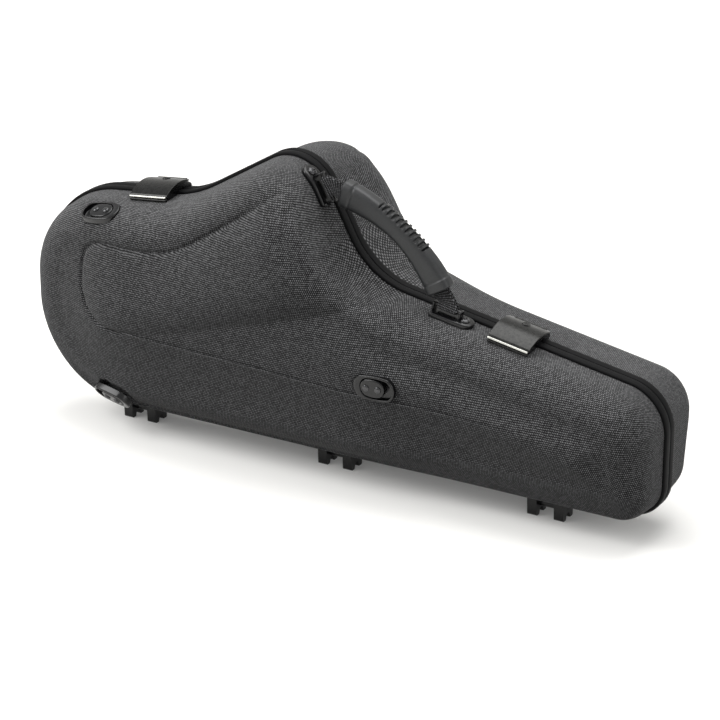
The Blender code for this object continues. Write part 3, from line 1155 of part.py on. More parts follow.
def build():
    front = shell("front_shell", -1)
    rear = shell("rear_shell", 1)
    edging("front_edging", -1)
    edging("rear_edging", 1)
    front_foam = liner("front_liner", -1)
    rear_foam = liner("rear_liner", 1)

    bm = bmesh.new()
    bm.from_mesh(front.data)
    tree = BVHTree.FromBMesh(bm)
    bm.free()
    anchors = {
        "middle": surface_frame(tree, ANCHOR_MIDDLE_X, ANCHOR_MIDDLE_Z, 1),
        "high": surface_frame(tree, ANCHOR_HIGH_X, ANCHOR_HIGH_Z, -1),
        "low": surface_frame(tree, ANCHOR_LOW_X, ANCHOR_LOW_Z, -1),
    }
    for label, frame in anchors.items():
        boolean(front, anchor_room(f"room_{label}", frame))
        boolean(front_foam, anchor_room(f"foam_room_{label}", frame))
        strap_anchor(f"strap_anchor_{label}", frame)
        anchor_boss(f"anchor_boss_{label}", frame)
        for side, word in ((-1, "inner"), (1, "outer")):
            anchor_rivet(f"anchor_rivet_{label}_{word}", frame, side)

    liner_blocks(front_foam, ("bow", "bell", "pocket", "neck"))
    liner_blocks(rear_foam, ("bow", "bell", "crook", "neck"))

    for label, step in (("left", -1), ("middle", 0), ("right", 1)):
        x = HINGE_MIDDLE_X + step * HINGE_PITCH
        front_hinge_leaf(f"hinge_foot_{label}", x)
        moving_origin(rear_hinge_leaf(f"hinge_leaf_{label}", x), (x, 0, HINGE_AXIS_Z))
        hinge_pin(f"hinge_pin_{label}", x)

    for label, x in (("left", LATCH_LEFT_X), ("right", LATCH_RIGHT_X)):
        frame = top_frame(x, LATCH_WIDTH)
        axis = frame @ Vector((0, LEVER_AXIS_Y, LEVER_AXIS_Z))
        lock_axis = (frame @ lock_frame()).translation
        latch_keeper(f"latch_keeper_{label}", frame)
        keeper_bar(f"keeper_bar_{label}", frame)
        latch_base(f"latch_base_{label}", frame)
        lever_pin(f"lever_pin_{label}", frame)
        moving_origin(latch_lever(f"latch_lever_{label}", frame), axis)
        moving_origin(latch_lip(f"latch_lip_{label}", frame), axis)
        moving_origin(latch_claw(f"latch_claw_{label}", frame), axis)
        moving_origin(latch_lock(f"latch_lock_{label}", frame), lock_axis)

    for label, x, flip in (("high", BRACKET_HIGH_X, 1), ("low", BRACKET_LOW_X, -1)):
        handle_bracket(f"handle_bracket_{label}", x, flip)
        bracket_screw(f"bracket_screw_{label}", x, flip)
    pivot = bar_place(BRACKET_HIGH_X)
    moving_origin(grip("handle_grip"), pivot)
    moving_origin(web_loop("handle_web_high", BRACKET_HIGH_X, True), pivot)
    moving_origin(web_loop("handle_web_low", BRACKET_LOW_X, False), pivot)

    for piece in case.objects:
        piece.location.y += PARTING_Y
        piece.data.shade_smooth()
        piece.data.set_sharp_from_angle(angle=radians(35))


build()
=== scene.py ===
import json
from functools import partial
from math import acos, atan2, cos, pi, radians, sin, tan

import bmesh
import bpy
import numpy as np
from mathutils import Matrix, Vector


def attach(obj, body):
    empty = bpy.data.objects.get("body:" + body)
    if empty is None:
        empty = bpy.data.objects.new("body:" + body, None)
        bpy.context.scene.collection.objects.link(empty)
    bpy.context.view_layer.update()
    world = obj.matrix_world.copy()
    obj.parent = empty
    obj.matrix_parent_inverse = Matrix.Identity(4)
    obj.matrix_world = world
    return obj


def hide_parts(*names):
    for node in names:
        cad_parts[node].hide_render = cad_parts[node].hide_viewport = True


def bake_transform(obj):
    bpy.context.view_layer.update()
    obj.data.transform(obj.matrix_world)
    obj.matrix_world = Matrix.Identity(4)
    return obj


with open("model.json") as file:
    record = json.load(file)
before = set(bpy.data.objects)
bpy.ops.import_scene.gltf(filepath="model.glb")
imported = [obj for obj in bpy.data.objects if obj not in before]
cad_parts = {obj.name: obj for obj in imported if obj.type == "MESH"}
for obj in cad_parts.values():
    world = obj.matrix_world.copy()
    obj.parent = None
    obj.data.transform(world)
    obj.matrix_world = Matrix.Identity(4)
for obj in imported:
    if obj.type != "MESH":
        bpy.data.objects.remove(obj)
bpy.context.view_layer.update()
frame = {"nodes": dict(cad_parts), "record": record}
mm = 0.001
partingY = -12.0 * mm          # parting plane of the two halves
print("frame: loaded", len(frame["nodes"]), "nodes")


# small tools

def linearColour(hexText):      # sRGB hex to linear red, green, blue, alpha
    parts = [int(hexText[i:i + 2], 16) / 255 for i in (1, 3, 5)]
    return [p / 12.92 if p <= 0.04045 else ((p + 0.055) / 1.055) ** 2.4 for p in parts] + [1.0]


# one node with its settings, or just its operation; inputs go in order or by name, underscores for
# spaces, each a value or a node whose first output is meant; stops are a colour ramp's
def addNode(tree, kind, settings=None, *inputs, **named):
    made = tree.nodes.new("ShaderNode" + kind)
    settings = {"operation": settings} if isinstance(settings, str) else dict(settings or {})
    for place, (position, colour) in enumerate(settings.pop("stops", [])):
        band = made.color_ramp.elements
        element = band[place] if place < len(band) else band.new(position)
        element.position, element.color = position, linearColour(colour)
    for key, value in settings.items():
        setattr(made, key, value)
    for key, value in [*enumerate(inputs), *named.items()]:
        socket = made.inputs[key if isinstance(key, int) else key.replace("_", " ")]
        if isinstance(value, bpy.types.Node):
            value = value.outputs[0]
        if isinstance(value, bpy.types.NodeSocket):
            tree.links.new(value, socket)
        else:
            socket.default_value = value
    return made


def newMaterial(name):
    made = bpy.data.materials.new(name)
    made.use_nodes = True
    made.node_tree.nodes.clear()
    return made, partial(addNode, made.node_tree)


def finishMaterial(node, colour, roughness, normal, **extra):
    shader = node("BsdfPrincipled", Base_Color=colour, Roughness=roughness, Normal=normal, **extra)
    node("OutputMaterial", Surface=shader)


# points (n, 3) and quads (m, 4) as arrays; uv (n, 2) in millimetres of cloth, if the piece has a weave
def meshObject(name, points, faces, material, uv=None):
    mesh = bpy.data.meshes.new(name)
    mesh.vertices.add(len(points))
    mesh.vertices.foreach_set("co", np.asarray(points, np.float32).ravel())
    faces = np.asarray(faces, np.int32)
    mesh.loops.add(faces.size)
    mesh.loops.foreach_set("vertex_index", faces.ravel())
    mesh.polygons.add(len(faces))
    mesh.polygons.foreach_set("loop_start", np.arange(len(faces), dtype=np.int32) * faces.shape[1])
    mesh.polygons.foreach_set("use_smooth", np.ones(len(faces), bool))
    mesh.update(calc_edges=True)
    if uv is not None:
        layer = mesh.uv_layers.new(name="cloth")
        layer.data.foreach_set("uv", np.asarray(uv, np.float32)[faces.ravel()].ravel())
    mesh.validate()
    made = bpy.data.objects.new(name, mesh)
    bpy.context.scene.collection.objects.link(made)
    mesh.materials.append(material)
    return made


# quads between neighbouring rows of a grid whose point (i, j) has number i * columns + j
def gridFaces(rows, columns, loopRows=False, loopColumns=True):
    i = np.arange(rows if loopRows else rows - 1)
    j = np.arange(columns if loopColumns else columns - 1)
    a, b = np.meshgrid(i, j, indexing="ij")
    c, d = (a + 1) % rows, (b + 1) % columns
    return np.stack([a * columns + b, a * columns + d, c * columns + d, c * columns + b], -1).reshape(-1, 4)


# closes seams and poles, and points the faces outwards
def tidyMesh(piece):
    bm = bmesh.new()
    bm.from_mesh(piece.data)
    bmesh.ops.remove_doubles(bm, verts=bm.verts, dist=0.02 * mm)
    bmesh.ops.recalc_face_normals(bm, faces=bm.faces)
    bm.to_mesh(piece.data)
    bm.free()
    return piece


def turnAngles(count):
    return np.linspace(0, 2 * pi, count, endpoint=False)


def smoothStep(value):
    value = np.clip(value, 0, 1)
    return value * value * (3 - 2 * value)


# the case's outline in the parting plane; corners are x, z and radius in mm

outlineShape = {
    "tableGap": 23 * mm, "leastRadius": 6 * mm, "pointGap": 2.1 * mm,
    "corners": [(-325, 0, 100), (325, 0, 32), (325, 118, 45), (30, 173, 80), (-33, 293, 43),
                (-157, 219, 120), (-325, 202, 90)],
}


# corners moved in along their bisectors, each radius grown or shrunk so that the sides stay parallel
def insetCorners(inset):
    corners = outlineShape["corners"]
    spots = np.array([(x * mm, z * mm + outlineShape["tableGap"]) for x, z, _ in corners])
    ways = np.roll(spots, -1, 0) - spots
    ways /= np.linalg.norm(ways, axis=1)[:, None]
    before = np.roll(ways, 1, 0)
    inwardBefore = np.stack([-before[:, 1], before[:, 0]], 1)
    inward = np.stack([-ways[:, 1], ways[:, 0]], 1)
    bend = np.sign(before[:, 0] * ways[:, 1] - before[:, 1] * ways[:, 0])
    moved = spots + (inwardBefore + inward) * inset / (1 + (inwardBefore * inward).sum(1))[:, None]
    radii = np.maximum(np.array([radius * mm for _, _, radius in corners]) - bend * inset,
                       outlineShape["leastRadius"])
    return moved, before, ways, bend, radii


# how many points each rounded corner and each straight side gets, at an even gap
def outlineSteps():
    spots, before, ways, _, radii = insetCorners(0.0)
    turn = np.arccos(np.clip((before * ways).sum(1), -1, 1))
    reach = radii * np.tan(turn / 2)
    sides = np.linalg.norm(np.roll(spots, -1, 0) - spots, axis=1) - reach - np.roll(reach, -1)
    gap = outlineShape["pointGap"]
    return np.maximum(8, (radii * turn / gap).astype(int)), np.maximum(2, (sides / gap).astype(int))


arcSteps, sideSteps = outlineSteps()


# points (n, 2) of the rounded outline: arcs of the corners joined by straight sides; the count never changes
def outline(inset=0.0):
    spots, before, ways, bend, radii = insetCorners(inset)
    arcs = []
    for k in range(len(spots)):
        turn = acos(min(1.0, before[k] @ ways[k]))
        start = spots[k] - before[k] * radii[k] * tan(turn / 2)
        centre = start + bend[k] * radii[k] * np.array([-before[k][1], before[k][0]])
        angle = bend[k] * turn * np.linspace(0, 1, arcSteps[k] + 1)
        spoke = start - centre
        arcs.append(centre + np.stack([spoke[0] * np.cos(angle) - spoke[1] * np.sin(angle),
                                       spoke[0] * np.sin(angle) + spoke[1] * np.cos(angle)], 1))
    parts = []
    for k, steps in enumerate(sideSteps):
        following = arcs[(k + 1) % len(arcs)][0]
        share = (np.arange(1, steps) / steps)[:, None]
        parts += [arcs[k], arcs[k][-1] + (following - arcs[k][-1]) * share]
    return np.concatenate(parts)


# sections of the two halves in mm, as in the solids: depth of the wall and radius of the shoulder in the
# middle and at the bow end, depth of the face at neck, bell and bow, and where it falls to the bow

halves = {
    "front": {"side": -1, "wall": 22, "shoulder": 30, "neck": 56, "bell": 68, "bowWall": 20, "bowShoulder": 32,
              "bow": 48, "fallStart": -180, "fallEnd": -325, "crook": 1.0},
    "rear": {"side": 1, "wall": 46, "shoulder": 20, "neck": 69, "bell": 98, "bowWall": 14, "bowShoulder": 44,
             "bow": 62, "fallStart": 20, "fallEnd": -170, "crook": 0.0},
}
steepCrook = {"wall": 44, "shoulder": 12, "start": -38, "end": 92, "blend": 46, "lowZ": 100}   # the bell's rim
shellShape = {
    "proud": 3.0 * mm, "edging": 8.7 * mm, "rim": 2.2 * mm, "draft": tan(radians(4)), "crown": 8 * mm,
    "wall": 3.0 * mm, "swellStart": 150 * mm, "swellEnd": 20 * mm, "spine": [(-215, 128), (-50, 158), (258, 84)],
    "wallRows": 10, "shoulderRows": 22, "faceRows": 56, "innerEvery": 8, "spineGrid": 2.2 * mm,
    "reliefDepth": (34, 22),                  # mm deep where the pressed relief starts, and over how much
    "clothLimit": 150 * mm, "tight": (-60, 130, 50, 100),     # how far the weave runs up the crook's wall, and where
}


def bowShare(x, half):
    return smoothStep((x / mm - half["fallStart"]) / (half["fallEnd"] - half["fallStart"]))


# depth of the face: it swells from the neck to the bell and falls toward the bow end
def faceDepth(x, half):
    swell = smoothStep((x - shellShape["swellStart"]) / (shellShape["swellEnd"] - shellShape["swellStart"]))
    fall = (half["bell"] - half["bow"]) * bowShare(x, half)
    return (half["neck"] + (half["bell"] - half["neck"]) * swell - fall) * mm


def crookShare(points, half):
    x, z, c = points[:, 0] / mm, points[:, 1] / mm, steepCrook
    along = smoothStep((x - c["start"]) / c["blend"]) * smoothStep((c["end"] - x) / c["blend"])
    return along * (z > c["lowZ"]) * half["crook"]


def wallInset(depth):
    return shellShape["proud"] + np.maximum(0.0, depth - shellShape["edging"]) * shellShape["draft"]


# the place on the spine straight above or below each point, or its end, on one grid so that both sides join
def spineTargets(points):
    spine, grid = np.array(shellShape["spine"]) * mm, shellShape["spineGrid"]
    x = np.round(np.clip(points[:, 0], spine[0, 0], spine[-1, 0]) / grid) * grid
    return np.column_stack([x, np.interp(x, spine[:, 0], spine[:, 1])])


# the outer surface as rings (rows, n, 3) with cloth coordinates (rows, n, 2): down the wall by straight
# steps, over the shoulder by a quarter turn, and in to the spine with a crown
def shellRings(half, relief):
    s = shellShape
    edge = outline(s["proud"])
    bow, crook = bowShare(edge[:, 0], half)[:, None], crookShare(edge, half)[:, None]
    straight = (half["wall"] + (half["bowWall"] - half["wall"]) * bow[:, 0]
                + (steepCrook["wall"] - half["wall"]) * crook[:, 0]) * mm

    def rolled(inward):
        main = outline(wallInset(half["wall"] * mm) + half["shoulder"] * mm * inward)
        atBow = outline(wallInset(half["bowWall"] * mm) + half["bowShoulder"] * mm * inward)
        atCrook = outline(wallInset(steepCrook["wall"] * mm) + steepCrook["shoulder"] * mm * inward)
        return main + (atBow - main) * bow + (atCrook - main) * crook

    rings = [np.column_stack([edge, np.full(len(edge), s["rim"])]),
             np.column_stack([edge, np.full(len(edge), s["edging"])])]
    foot = rolled(0.0)
    for share in np.linspace(0, 1, s["wallRows"])[1:]:
        depth = s["edging"] + (straight - s["edging"]) * share
        rings.append(np.column_stack([edge + (foot - edge) * share, depth]))
    for angle in np.linspace(0, pi / 2, s["shoulderRows"])[1:]:
        ring = rolled(1 - cos(angle))
        rings.append(np.column_stack([ring, straight + (faceDepth(ring[:, 0], half) - straight) * sin(angle)]))
    last = rolled(1.0)
    target = spineTargets(last)
    for share in np.linspace(0, 1, s["faceRows"])[1:]:
        ring = last + (target - last) * share
        crown = s["crown"] * share * share * (3 - 2 * share)
        rings.append(np.column_stack([ring, faceDepth(ring[:, 0], half) + crown]))
    rings = np.array(rings)
    deep, over = s["reliefDepth"]
    rings[..., 2] += relief(rings[..., 0], rings[..., 1]) * smoothStep((rings[..., 2] / mm - deep) / over)
    rolledRows = s["wallRows"] + s["shoulderRows"]
    flat = rings[rolledRows - 1, :, :2]             # ring where the cloth leaves the face
    steps = np.linalg.norm(np.diff(rings[:rolledRows], axis=0), axis=2)
    run = np.concatenate([np.cumsum(steps[::-1], 0)[::-1], np.zeros((1, len(edge)))])
    outward = edge - flat
    outward /= np.linalg.norm(outward, axis=1)[:, None]
    start, end, ease, low = s["tight"]
    x, z, limit = edge[:, 0] / mm, edge[:, 1] / mm, s["clothLimit"]
    tight = smoothStep((x - start) / ease) * smoothStep((end - x) / ease) * (z > low)
    run = run + (limit * (1 - np.exp(-run / limit)) - run) * tight      # the weave doesn't run together
    cloth = rings[..., :2].copy()
    cloth[:rolledRows] = flat + outward * run[..., None]
    solid = np.stack([rings[..., 0], half["side"] * rings[..., 2] + partingY, rings[..., 1]], -1)
    return solid, cloth


# mm; low and high are bent lines: height, where it bends, slope; swell, rim and ridge ranges are in x
bellRelief = {
    "left": -250, "low": (116, -186, 0.30), "high": (199, -148, 0.68), "bend": 14, "bowRise": 4, "bellRise": 16,
    "power": 2.6, "corners": (2.0, 3.2), "swell": (-190, 10), "end": 110, "fade": 50,
    "groove": 2.7, "grooveWidth": 1.9, "grooveEnd": (-30, 60), "grooveBow": (-165, 40), "grooveBlend": 30,
    "rimDip": 5.0, "innerRim": (266, 78, 1.2, -50, 38, 18), "outerRim": (278, 82, 1.05, -6, 25, 41),
    "rimTop": (285, 25), "rimFoot": (178, 20),
    "crease": (110, -0.041, 0.16, 1.0), "creaseRidge": 0.6, "ridgeWidth": 1.5, "ridgeRun": (-205, 30, 150, 60),
}


# dome 1 - spread ^ power between two bent lines, round at the bow end, with a groove round it, a dip between
# two rim ridges and a fold below
def pressedBell(x, z):
    shape, x, z = bellRelief, x / mm, z / mm

    def bentLine(height, bendX, slope):
        return height + slope * shape["bend"] * np.logaddexp(0, (x - bendX) / shape["bend"])

    low, high = bentLine(*shape["low"]), bentLine(*shape["high"])
    half, up = (high - low) / 2, z - (high + low) / 2
    corner = np.where(up > 0, shape["corners"][1], shape["corners"][0])
    fromLeft = np.maximum(0, half - (x - shape["left"])) / half
    spread = (fromLeft ** corner + (np.abs(up) / half) ** corner) ** (1 / corner)
    swell = smoothStep((x - shape["swell"][0]) / (shape["swell"][1] - shape["swell"][0]))
    ending = smoothStep((shape["end"] - x) / shape["fade"])
    rise = (shape["bowRise"] + (shape["bellRise"] - shape["bowRise"]) * swell) * ending
    height = rise * (1 - np.minimum(1, spread) ** shape["power"])
    upper = smoothStep((z - (high + low) / 2) / shape["grooveBlend"] + 0.5)      # deep above and at the bow end
    (end, fade), (bow, bowFade) = shape["grooveEnd"], shape["grooveBow"]
    groove = np.exp(-(((spread - 1) * half + 1) / shape["grooveWidth"]) ** 2) * smoothStep((end - x) / fade)
    groove = groove * (upper + (1 - upper) * smoothStep((bow - x) / bowFade))

    def rimLine(top, drop, most, start, first, second, power):
        sink = np.clip((top - z) / drop, 0, most)
        return start + first * sink + second * sink ** power

    innerRim, outerRim = rimLine(*shape["innerRim"], 2), rimLine(*shape["outerRim"], 4)
    between = np.clip((x - innerRim) / (outerRim - innerRim), 0, 1)
    (top, topFade), (foot, footFade) = shape["rimTop"], shape["rimFoot"]
    dip = np.sin(pi * between) ** 2 * smoothStep((top - z) / topFade) * smoothStep((z - foot) / footFade)
    line, slope, fall, bend = shape["crease"]
    above = z - (line + slope * x)
    fold = fall * bend * np.logaddexp(0, -above / bend)
    start, startFade, end, endFade = shape["ridgeRun"]
    ridge = np.exp(-(above / shape["ridgeWidth"]) ** 2)
    ridge = ridge * smoothStep((x - start) / startFade) * smoothStep((end - x) / endFade)
    return (height - shape["groove"] * groove - shape["rimDip"] * dip - fold + shape["creaseRidge"] * ridge) * mm


# materials

# pitches and sways in mm, coarser than such cloth has, so that the weave shows at the photo's size; own is how
# far each knuckle differs from its neighbours, and stops go from the gaps up to the threads' backs
weaves = {
    # both weaves' stops paint the weave's light: painted shade, near black, in the gaps and a painted highlight on
    # the threads' backs
    "twill": {"row": 1.9, "thread": 1.6, "sway": 1.4, "own": 0.24, "relief": 0.5, "gloss": 0.1, "sheen": 0.13,
              "stops": [(0.12, "#040404"), (0.42, "#232324"), (0.85, "#7a7a7b")]},
    "webbing": {"row": 2.1, "thread": 1.8, "sway": 0.2, "own": 0.2, "relief": 0.7, "gloss": 0.3, "sheen": 0.05,
                "stops": [(0.15, "#020202"), (0.5, "#101011"), (0.85, "#6e6e70")]},
}
pressedLine = {                                # in mm of cloth; widths and strengths of its painted highlight along the back and painted shade at the foot
    "height": 110.0, "slope": -0.041, "paintedHighlight": 0.16, "paintedShade": 0.16, "rise": 0.9, "highlightWidth": 0.9,
    "shadeShift": 2.0, "shadeWidth": 1.3, "riseWidth": 1.2, "left": (-205.0, -170.0), "right": (230.0, 120.0),
}


# woven cloth: rows of knuckles, each the product of two half sines, with its own tone and height, and painted shade
# in the gaps and a painted highlight on the threads' backs;
# a crease is the pressed line below the bell, with a painted highlight and painted shade along it
def wovenMaterial(name, weave, crease=None):
    made, node = newMaterial(name)
    place = node("UVMap", {"uv_map": "cloth"})
    spot = node("SeparateXYZ", Vector=place)
    x, y = spot.outputs[0], spot.outputs[1]
    sway = node("TexNoise", Vector=place, Scale=0.11, Detail=1.0)
    rowPlace = node("Math", "DIVIDE", node("Math", "MULTIPLY_ADD", sway, weave["sway"], y), weave["row"])
    row = node("Math", "FLOOR", rowPlace)
    threadPlace = node("Math", "ADD", node("Math", "DIVIDE", x, weave["thread"]), node("Math", "MULTIPLY", row, 0.5))
    cell = node("CombineXYZ", X=node("Math", "FLOOR", threadPlace), Y=row)
    own = node("TexWhiteNoise", {"noise_dimensions": "2D"}, Vector=cell)
    across, along = (node("Math", "SINE", node("Math", "MULTIPLY", node("Math", "FRACT", share), pi))
                     for share in (rowPlace, threadPlace))
    knuckle = node("Math", "MULTIPLY", across, along)
    tone = height = node("Math", "ADD", node("Math", "MULTIPLY", own, weave["own"]),
                         node("Math", "MULTIPLY", knuckle, 1 - weave["own"]))
    if crease:
        slope = node("Math", "MULTIPLY_ADD", x, -crease["slope"], y)
        above = node("Math", "SUBTRACT", slope, crease["height"])
        left, right = (node("MapRange", {"interpolation_type": "SMOOTHSTEP"}, x, *crease[side])
                       for side in ("left", "right"))
        shown = node("Math", "MULTIPLY", left, right)

        def line(shift, width, strength):                          # bell curve e ^ -share ^ 2 across the line
            share = node("Math", "DIVIDE", node("Math", "ADD", above, -shift), width)
            square = node("Math", "MULTIPLY", share, share)
            bell = node("Math", "POWER", 2.718, node("Math", "MULTIPLY", square, -1.0))
            return node("Math", "MULTIPLY", node("Math", "MULTIPLY", bell, shown), strength)

        # painted highlight along the pressed line and painted shade beside it, added to the weave's tone
        highlightLine = line(0.0, crease["highlightWidth"], crease["paintedHighlight"])
        paintedShade = line(crease["shadeShift"], crease["shadeWidth"], -crease["paintedShade"])
        tone = node("Math", "ADD", tone, node("Math", "ADD", highlightLine, paintedShade))
        height = node("Math", "ADD", height, line(0.0, crease["riseWidth"], crease["rise"]))
    # the tone, mostly the knuckle's height, sets the colour: painted shade in the gaps, a painted highlight on the
    # threads' backs
    colour = node("ValToRGB", {"stops": weave["stops"]}, tone)
    bump = node("Bump", Strength=0.6, Distance=0.001 * weave["relief"], Height=height)
    finishMaterial(node, colour, 0.85, bump, Specular_IOR_Level=weave["gloss"], Sheen_Weight=weave["sheen"],
                   Sheen_Roughness=0.5)
    return made


# moulded or cast finish: a fine grain, in waves per metre, moves the colour, the roughness and the surface
def plainMaterial(name, colours, roughness, grainScale, bumpDistance, metallic=0.0, **extra):
    made, node = newMaterial(name)
    place = node("TexCoord").outputs["Object"]
    grain = node("TexNoise", Vector=place, Scale=grainScale, Detail=4.0, Roughness=0.6)
    colour = node("ValToRGB", {"stops": [(0.3, colours[0]), (0.7, colours[1])]}, grain)
    rough = node("MapRange", None, grain, 0.3, 0.7, *roughness)
    bump = node("Bump", Strength=0.35, Distance=bumpDistance, Height=grain)
    finishMaterial(node, colour, rough, bump, Metallic=metallic, **extra)
    return made


twill = wovenMaterial("polyesterTwill", weaves["twill"])                       # matte charcoal, its knuckles varying a little; painted shade in the gaps, a painted highlight on the threads' backs
creasedTwill = wovenMaterial("creasedTwill", weaves["twill"], pressedLine)     # the same with the thin pressed line, a painted highlight along it and painted shade beside it
edgingRubber = plainMaterial("extrudedRubber", ("#060607", "#0d0d0e"), (0.6, 0.72), 900, 0.00005,
                             Specular_IOR_Level=0.12)                          # black and dull, a soft edge light
plush = plainMaterial("blackPlush", ("#0c0c0d", "#1d1d1f"), (0.95, 1.0), 600, 0.0006,
                      Sheen_Weight=0.4)                                        # deep pile, pale where it turns away
mouldedPlastic = plainMaterial("mouldedNylon", ("#060607", "#0e0e0f"), (0.16, 0.26), 1500, 0.00004,
                               Specular_IOR_Level=0.4)                         # glossy black with clear highlights
darkChrome = plainMaterial("blackChrome", ("#2d2d2d", "#393938"), (0.24, 0.32), 300, 0.00001,
                           1.0)                                                # smoky satin metal of the covers
brightChrome = plainMaterial("polishedChrome", ("#bcbcb6", "#ccccc6"), (0.08, 0.14), 300, 0.00001,
                             1.0)                                              # mirror lip that catches lamps
darkSteel = plainMaterial("blackenedSteel", ("#3c3c3d", "#505051"), (0.14, 0.22), 700, 0.00002,
                          0.9)                                                 # dark glint of screws and rivets
gripRubber = plainMaterial("softTouchRubber", ("#1a1b1c", "#262728"), (0.36, 0.5), 700, 0.00012,
                           Specular_IOR_Level=0.45)                            # grey with a broad soft shine
webbing = wovenMaterial("nylonWebbing", weaves["webbing"])                     # black band; its weave's glint is a painted highlight on the threads' backs, with painted shade in the gaps
print("materials: made")


# strap anchors: sizes in mm, and the places that the skin gives way to

anchorShape = {
    "length": 41, "width": 25, "proud": 3.0, "rim": 2.4, "well": 5.2, "closedRim": 7,
    "bossLength": 24, "bossWidth": 18, "bossProud": 3.4, "rivetPitch": 11.7, "rivetRadius": 3.3, "rivetDome": 1.6,
    "underCup": (1.3, 0.7, 6.0, 20),                               # from its edge, over how much, how deep, how near
    "places": {                                                    # normal, way to the open end, place
        "middle": ((0.03497, -0.99476, -0.09605), (0.99939, 0.03481, 0.00336), (71.0, -70.66, 119.0)),
        "high": ((-0.13335, -0.39918, 0.90712), (-0.99107, 0.05371, -0.12205), (-233.0, -48.16, 222.0)),
        "low": ((-0.17472, -0.72635, -0.66475), (-0.98462, 0.12889, 0.11796), (-226.0, -49.62, 40.0)),
    },
}


def anchorFrame(label):
    normal, way, spot = (Vector(v) for v in anchorShape["places"][label])
    normal.normalize()
    way = (way - normal * way.dot(normal)).normalized()
    made = Matrix((way, normal.cross(way), normal)).transposed().to_4x4()
    made.translation = spot * mm
    return made


# moves the skin's points under each anchor's cup straight in, so that its well stays open
def sunkUnderAnchors(solid):
    h, moved = anchorShape, solid.copy()
    edge, ease, deep, near = (v * mm for v in h["underCup"])
    for label in h["places"]:
        seat = np.array(anchorFrame(label).inverted())
        local = (solid - np.array([0, partingY, 0])) @ seat[:3, :3].T + seat[:3, 3]
        beyond = np.maximum(0, np.abs(local[..., 0]) - (h["length"] - h["width"]) / 2 * mm)
        away = h["width"] / 2 * mm - np.hypot(beyond, local[..., 1])
        inside = smoothStep((away - edge) / ease) * (np.abs(local[..., 2]) < near)
        normal = np.array(anchorFrame(label).to_3x3().col[2])
        moved -= inside[..., None] * normal * deep
    return moved


# shells

# adds the board's inner face on fewer rows, one wall in along the surface's normal, so that the rings run from
# inside to outside
def lined(solid, cloth, side):
    normal = np.cross(np.roll(solid, -1, 1) - np.roll(solid, 1, 1), np.gradient(solid, axis=0))
    size = np.linalg.norm(normal, axis=-1, keepdims=True)
    normal = np.where(size > 1e-9, normal / np.maximum(size, 1e-9), 0)
    normal *= np.sign((normal[..., 1] * side).mean())
    normal[-1] = (0, side, 0)
    last = len(solid) - 1
    picked = np.append(np.arange(0, last, shellShape["innerEvery"]), last)[::-1]
    inner = (solid - normal * shellShape["wall"])[picked]
    return np.concatenate([inner, solid]), np.concatenate([cloth[picked], cloth])


def buildShell(name, halfName, node, material):
    solid, cloth = shellRings(halves[halfName], pressedBell)
    if halfName == "front":
        solid = sunkUnderAnchors(solid)
    solid, cloth = lined(solid, cloth, halves[halfName]["side"])
    faces = gridFaces(*solid.shape[:2])
    piece = tidyMesh(meshObject(name, solid.reshape(-1, 3), faces, material, cloth.reshape(-1, 2) / mm))
    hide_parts(node)
    return piece


frontSkin = buildShell("frontSkin", "front", "front_shell", creasedTwill)
rearSkin = buildShell("rearSkin", "rear", "rear_shell", twill)
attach(frontSkin, "base")
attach(rearSkin, "lid")
print("shells: done")

# ways to build pieces; all of them are drawn round the parting plane and moved by partingY

# a surface through rings (rows, n, 3); a closed end runs in to the middle of its ring
def ringPiece(name, rings, material, uv=None, loopRows=False, closeStart=False, closeEnd=False):
    rings = np.asarray(rings, float)
    if closeStart:
        rings = np.concatenate([np.broadcast_to(rings[0].mean(0), (1,) + rings[0].shape), rings])
    if closeEnd:
        rings = np.concatenate([rings, np.broadcast_to(rings[-1].mean(0), (1,) + rings[-1].shape)])
    rows, count = rings.shape[:2]
    points = rings.reshape(-1, 3) + np.array([0, partingY, 0])
    return tidyMesh(meshObject(name, points, gridFaces(rows, count, loopRows), material, uv))


# makes one object of several
def joined(name, parts):
    bm = bmesh.new()
    for part in parts:
        bm.from_mesh(part.data)
        bpy.data.objects.remove(part, do_unlink=True)
    mesh = bpy.data.meshes.new(name)
    bm.to_mesh(mesh)
    bm.free()
    for polygon in mesh.polygons:
        polygon.use_smooth = True
    made = bpy.data.objects.new(name, mesh)
    bpy.context.scene.collection.objects.link(made)
    return made


def finished(piece, body, *nodes, material=None):
    if material is not None:
        piece.data.materials.clear()
        piece.data.materials.append(material)
    piece.data.set_sharp_from_angle(angle=radians(50))
    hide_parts(*nodes)
    if body:
        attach(piece, body)
    return piece


# points (..., 3) moved by a 4 x 4 frame
def placed(rings, frameMatrix):
    matrix = np.array(frameMatrix)
    return np.asarray(rings) @ matrix[:3, :3].T + matrix[:3, 3]


# superellipse |a| ^ p + |b| ^ p = 1 as (count, 2)
def squareRing(halfA, halfB, power, count):
    c, d = np.cos(turnAngles(count)), np.sin(turnAngles(count))
    size = (np.abs(c) ** power + np.abs(d) ** power) ** (-1 / power)
    return np.stack([c * size * halfA, d * size * halfB], 1)


# outline with two round ends as (count, 2), its points spread by angle round the middle of its length
def stadiumRing(length, width, shift, count=96):
    c, radius = np.cos(turnAngles(count)), width / 2
    straight = np.sign(c) * (length - width) / 2 * np.minimum(1, np.abs(c) * 2.2)
    return np.stack([straight + radius * c + shift, radius * np.sin(turnAngles(count))], 1)


# rings of a flat form: each level is (how far in, height)
def roundedStack(outlineAt, levels):
    loops = [(outlineAt(inward), height) for inward, height in levels]
    return np.array([np.column_stack([loop, np.full(len(loop), height)]) for loop, height in loops])


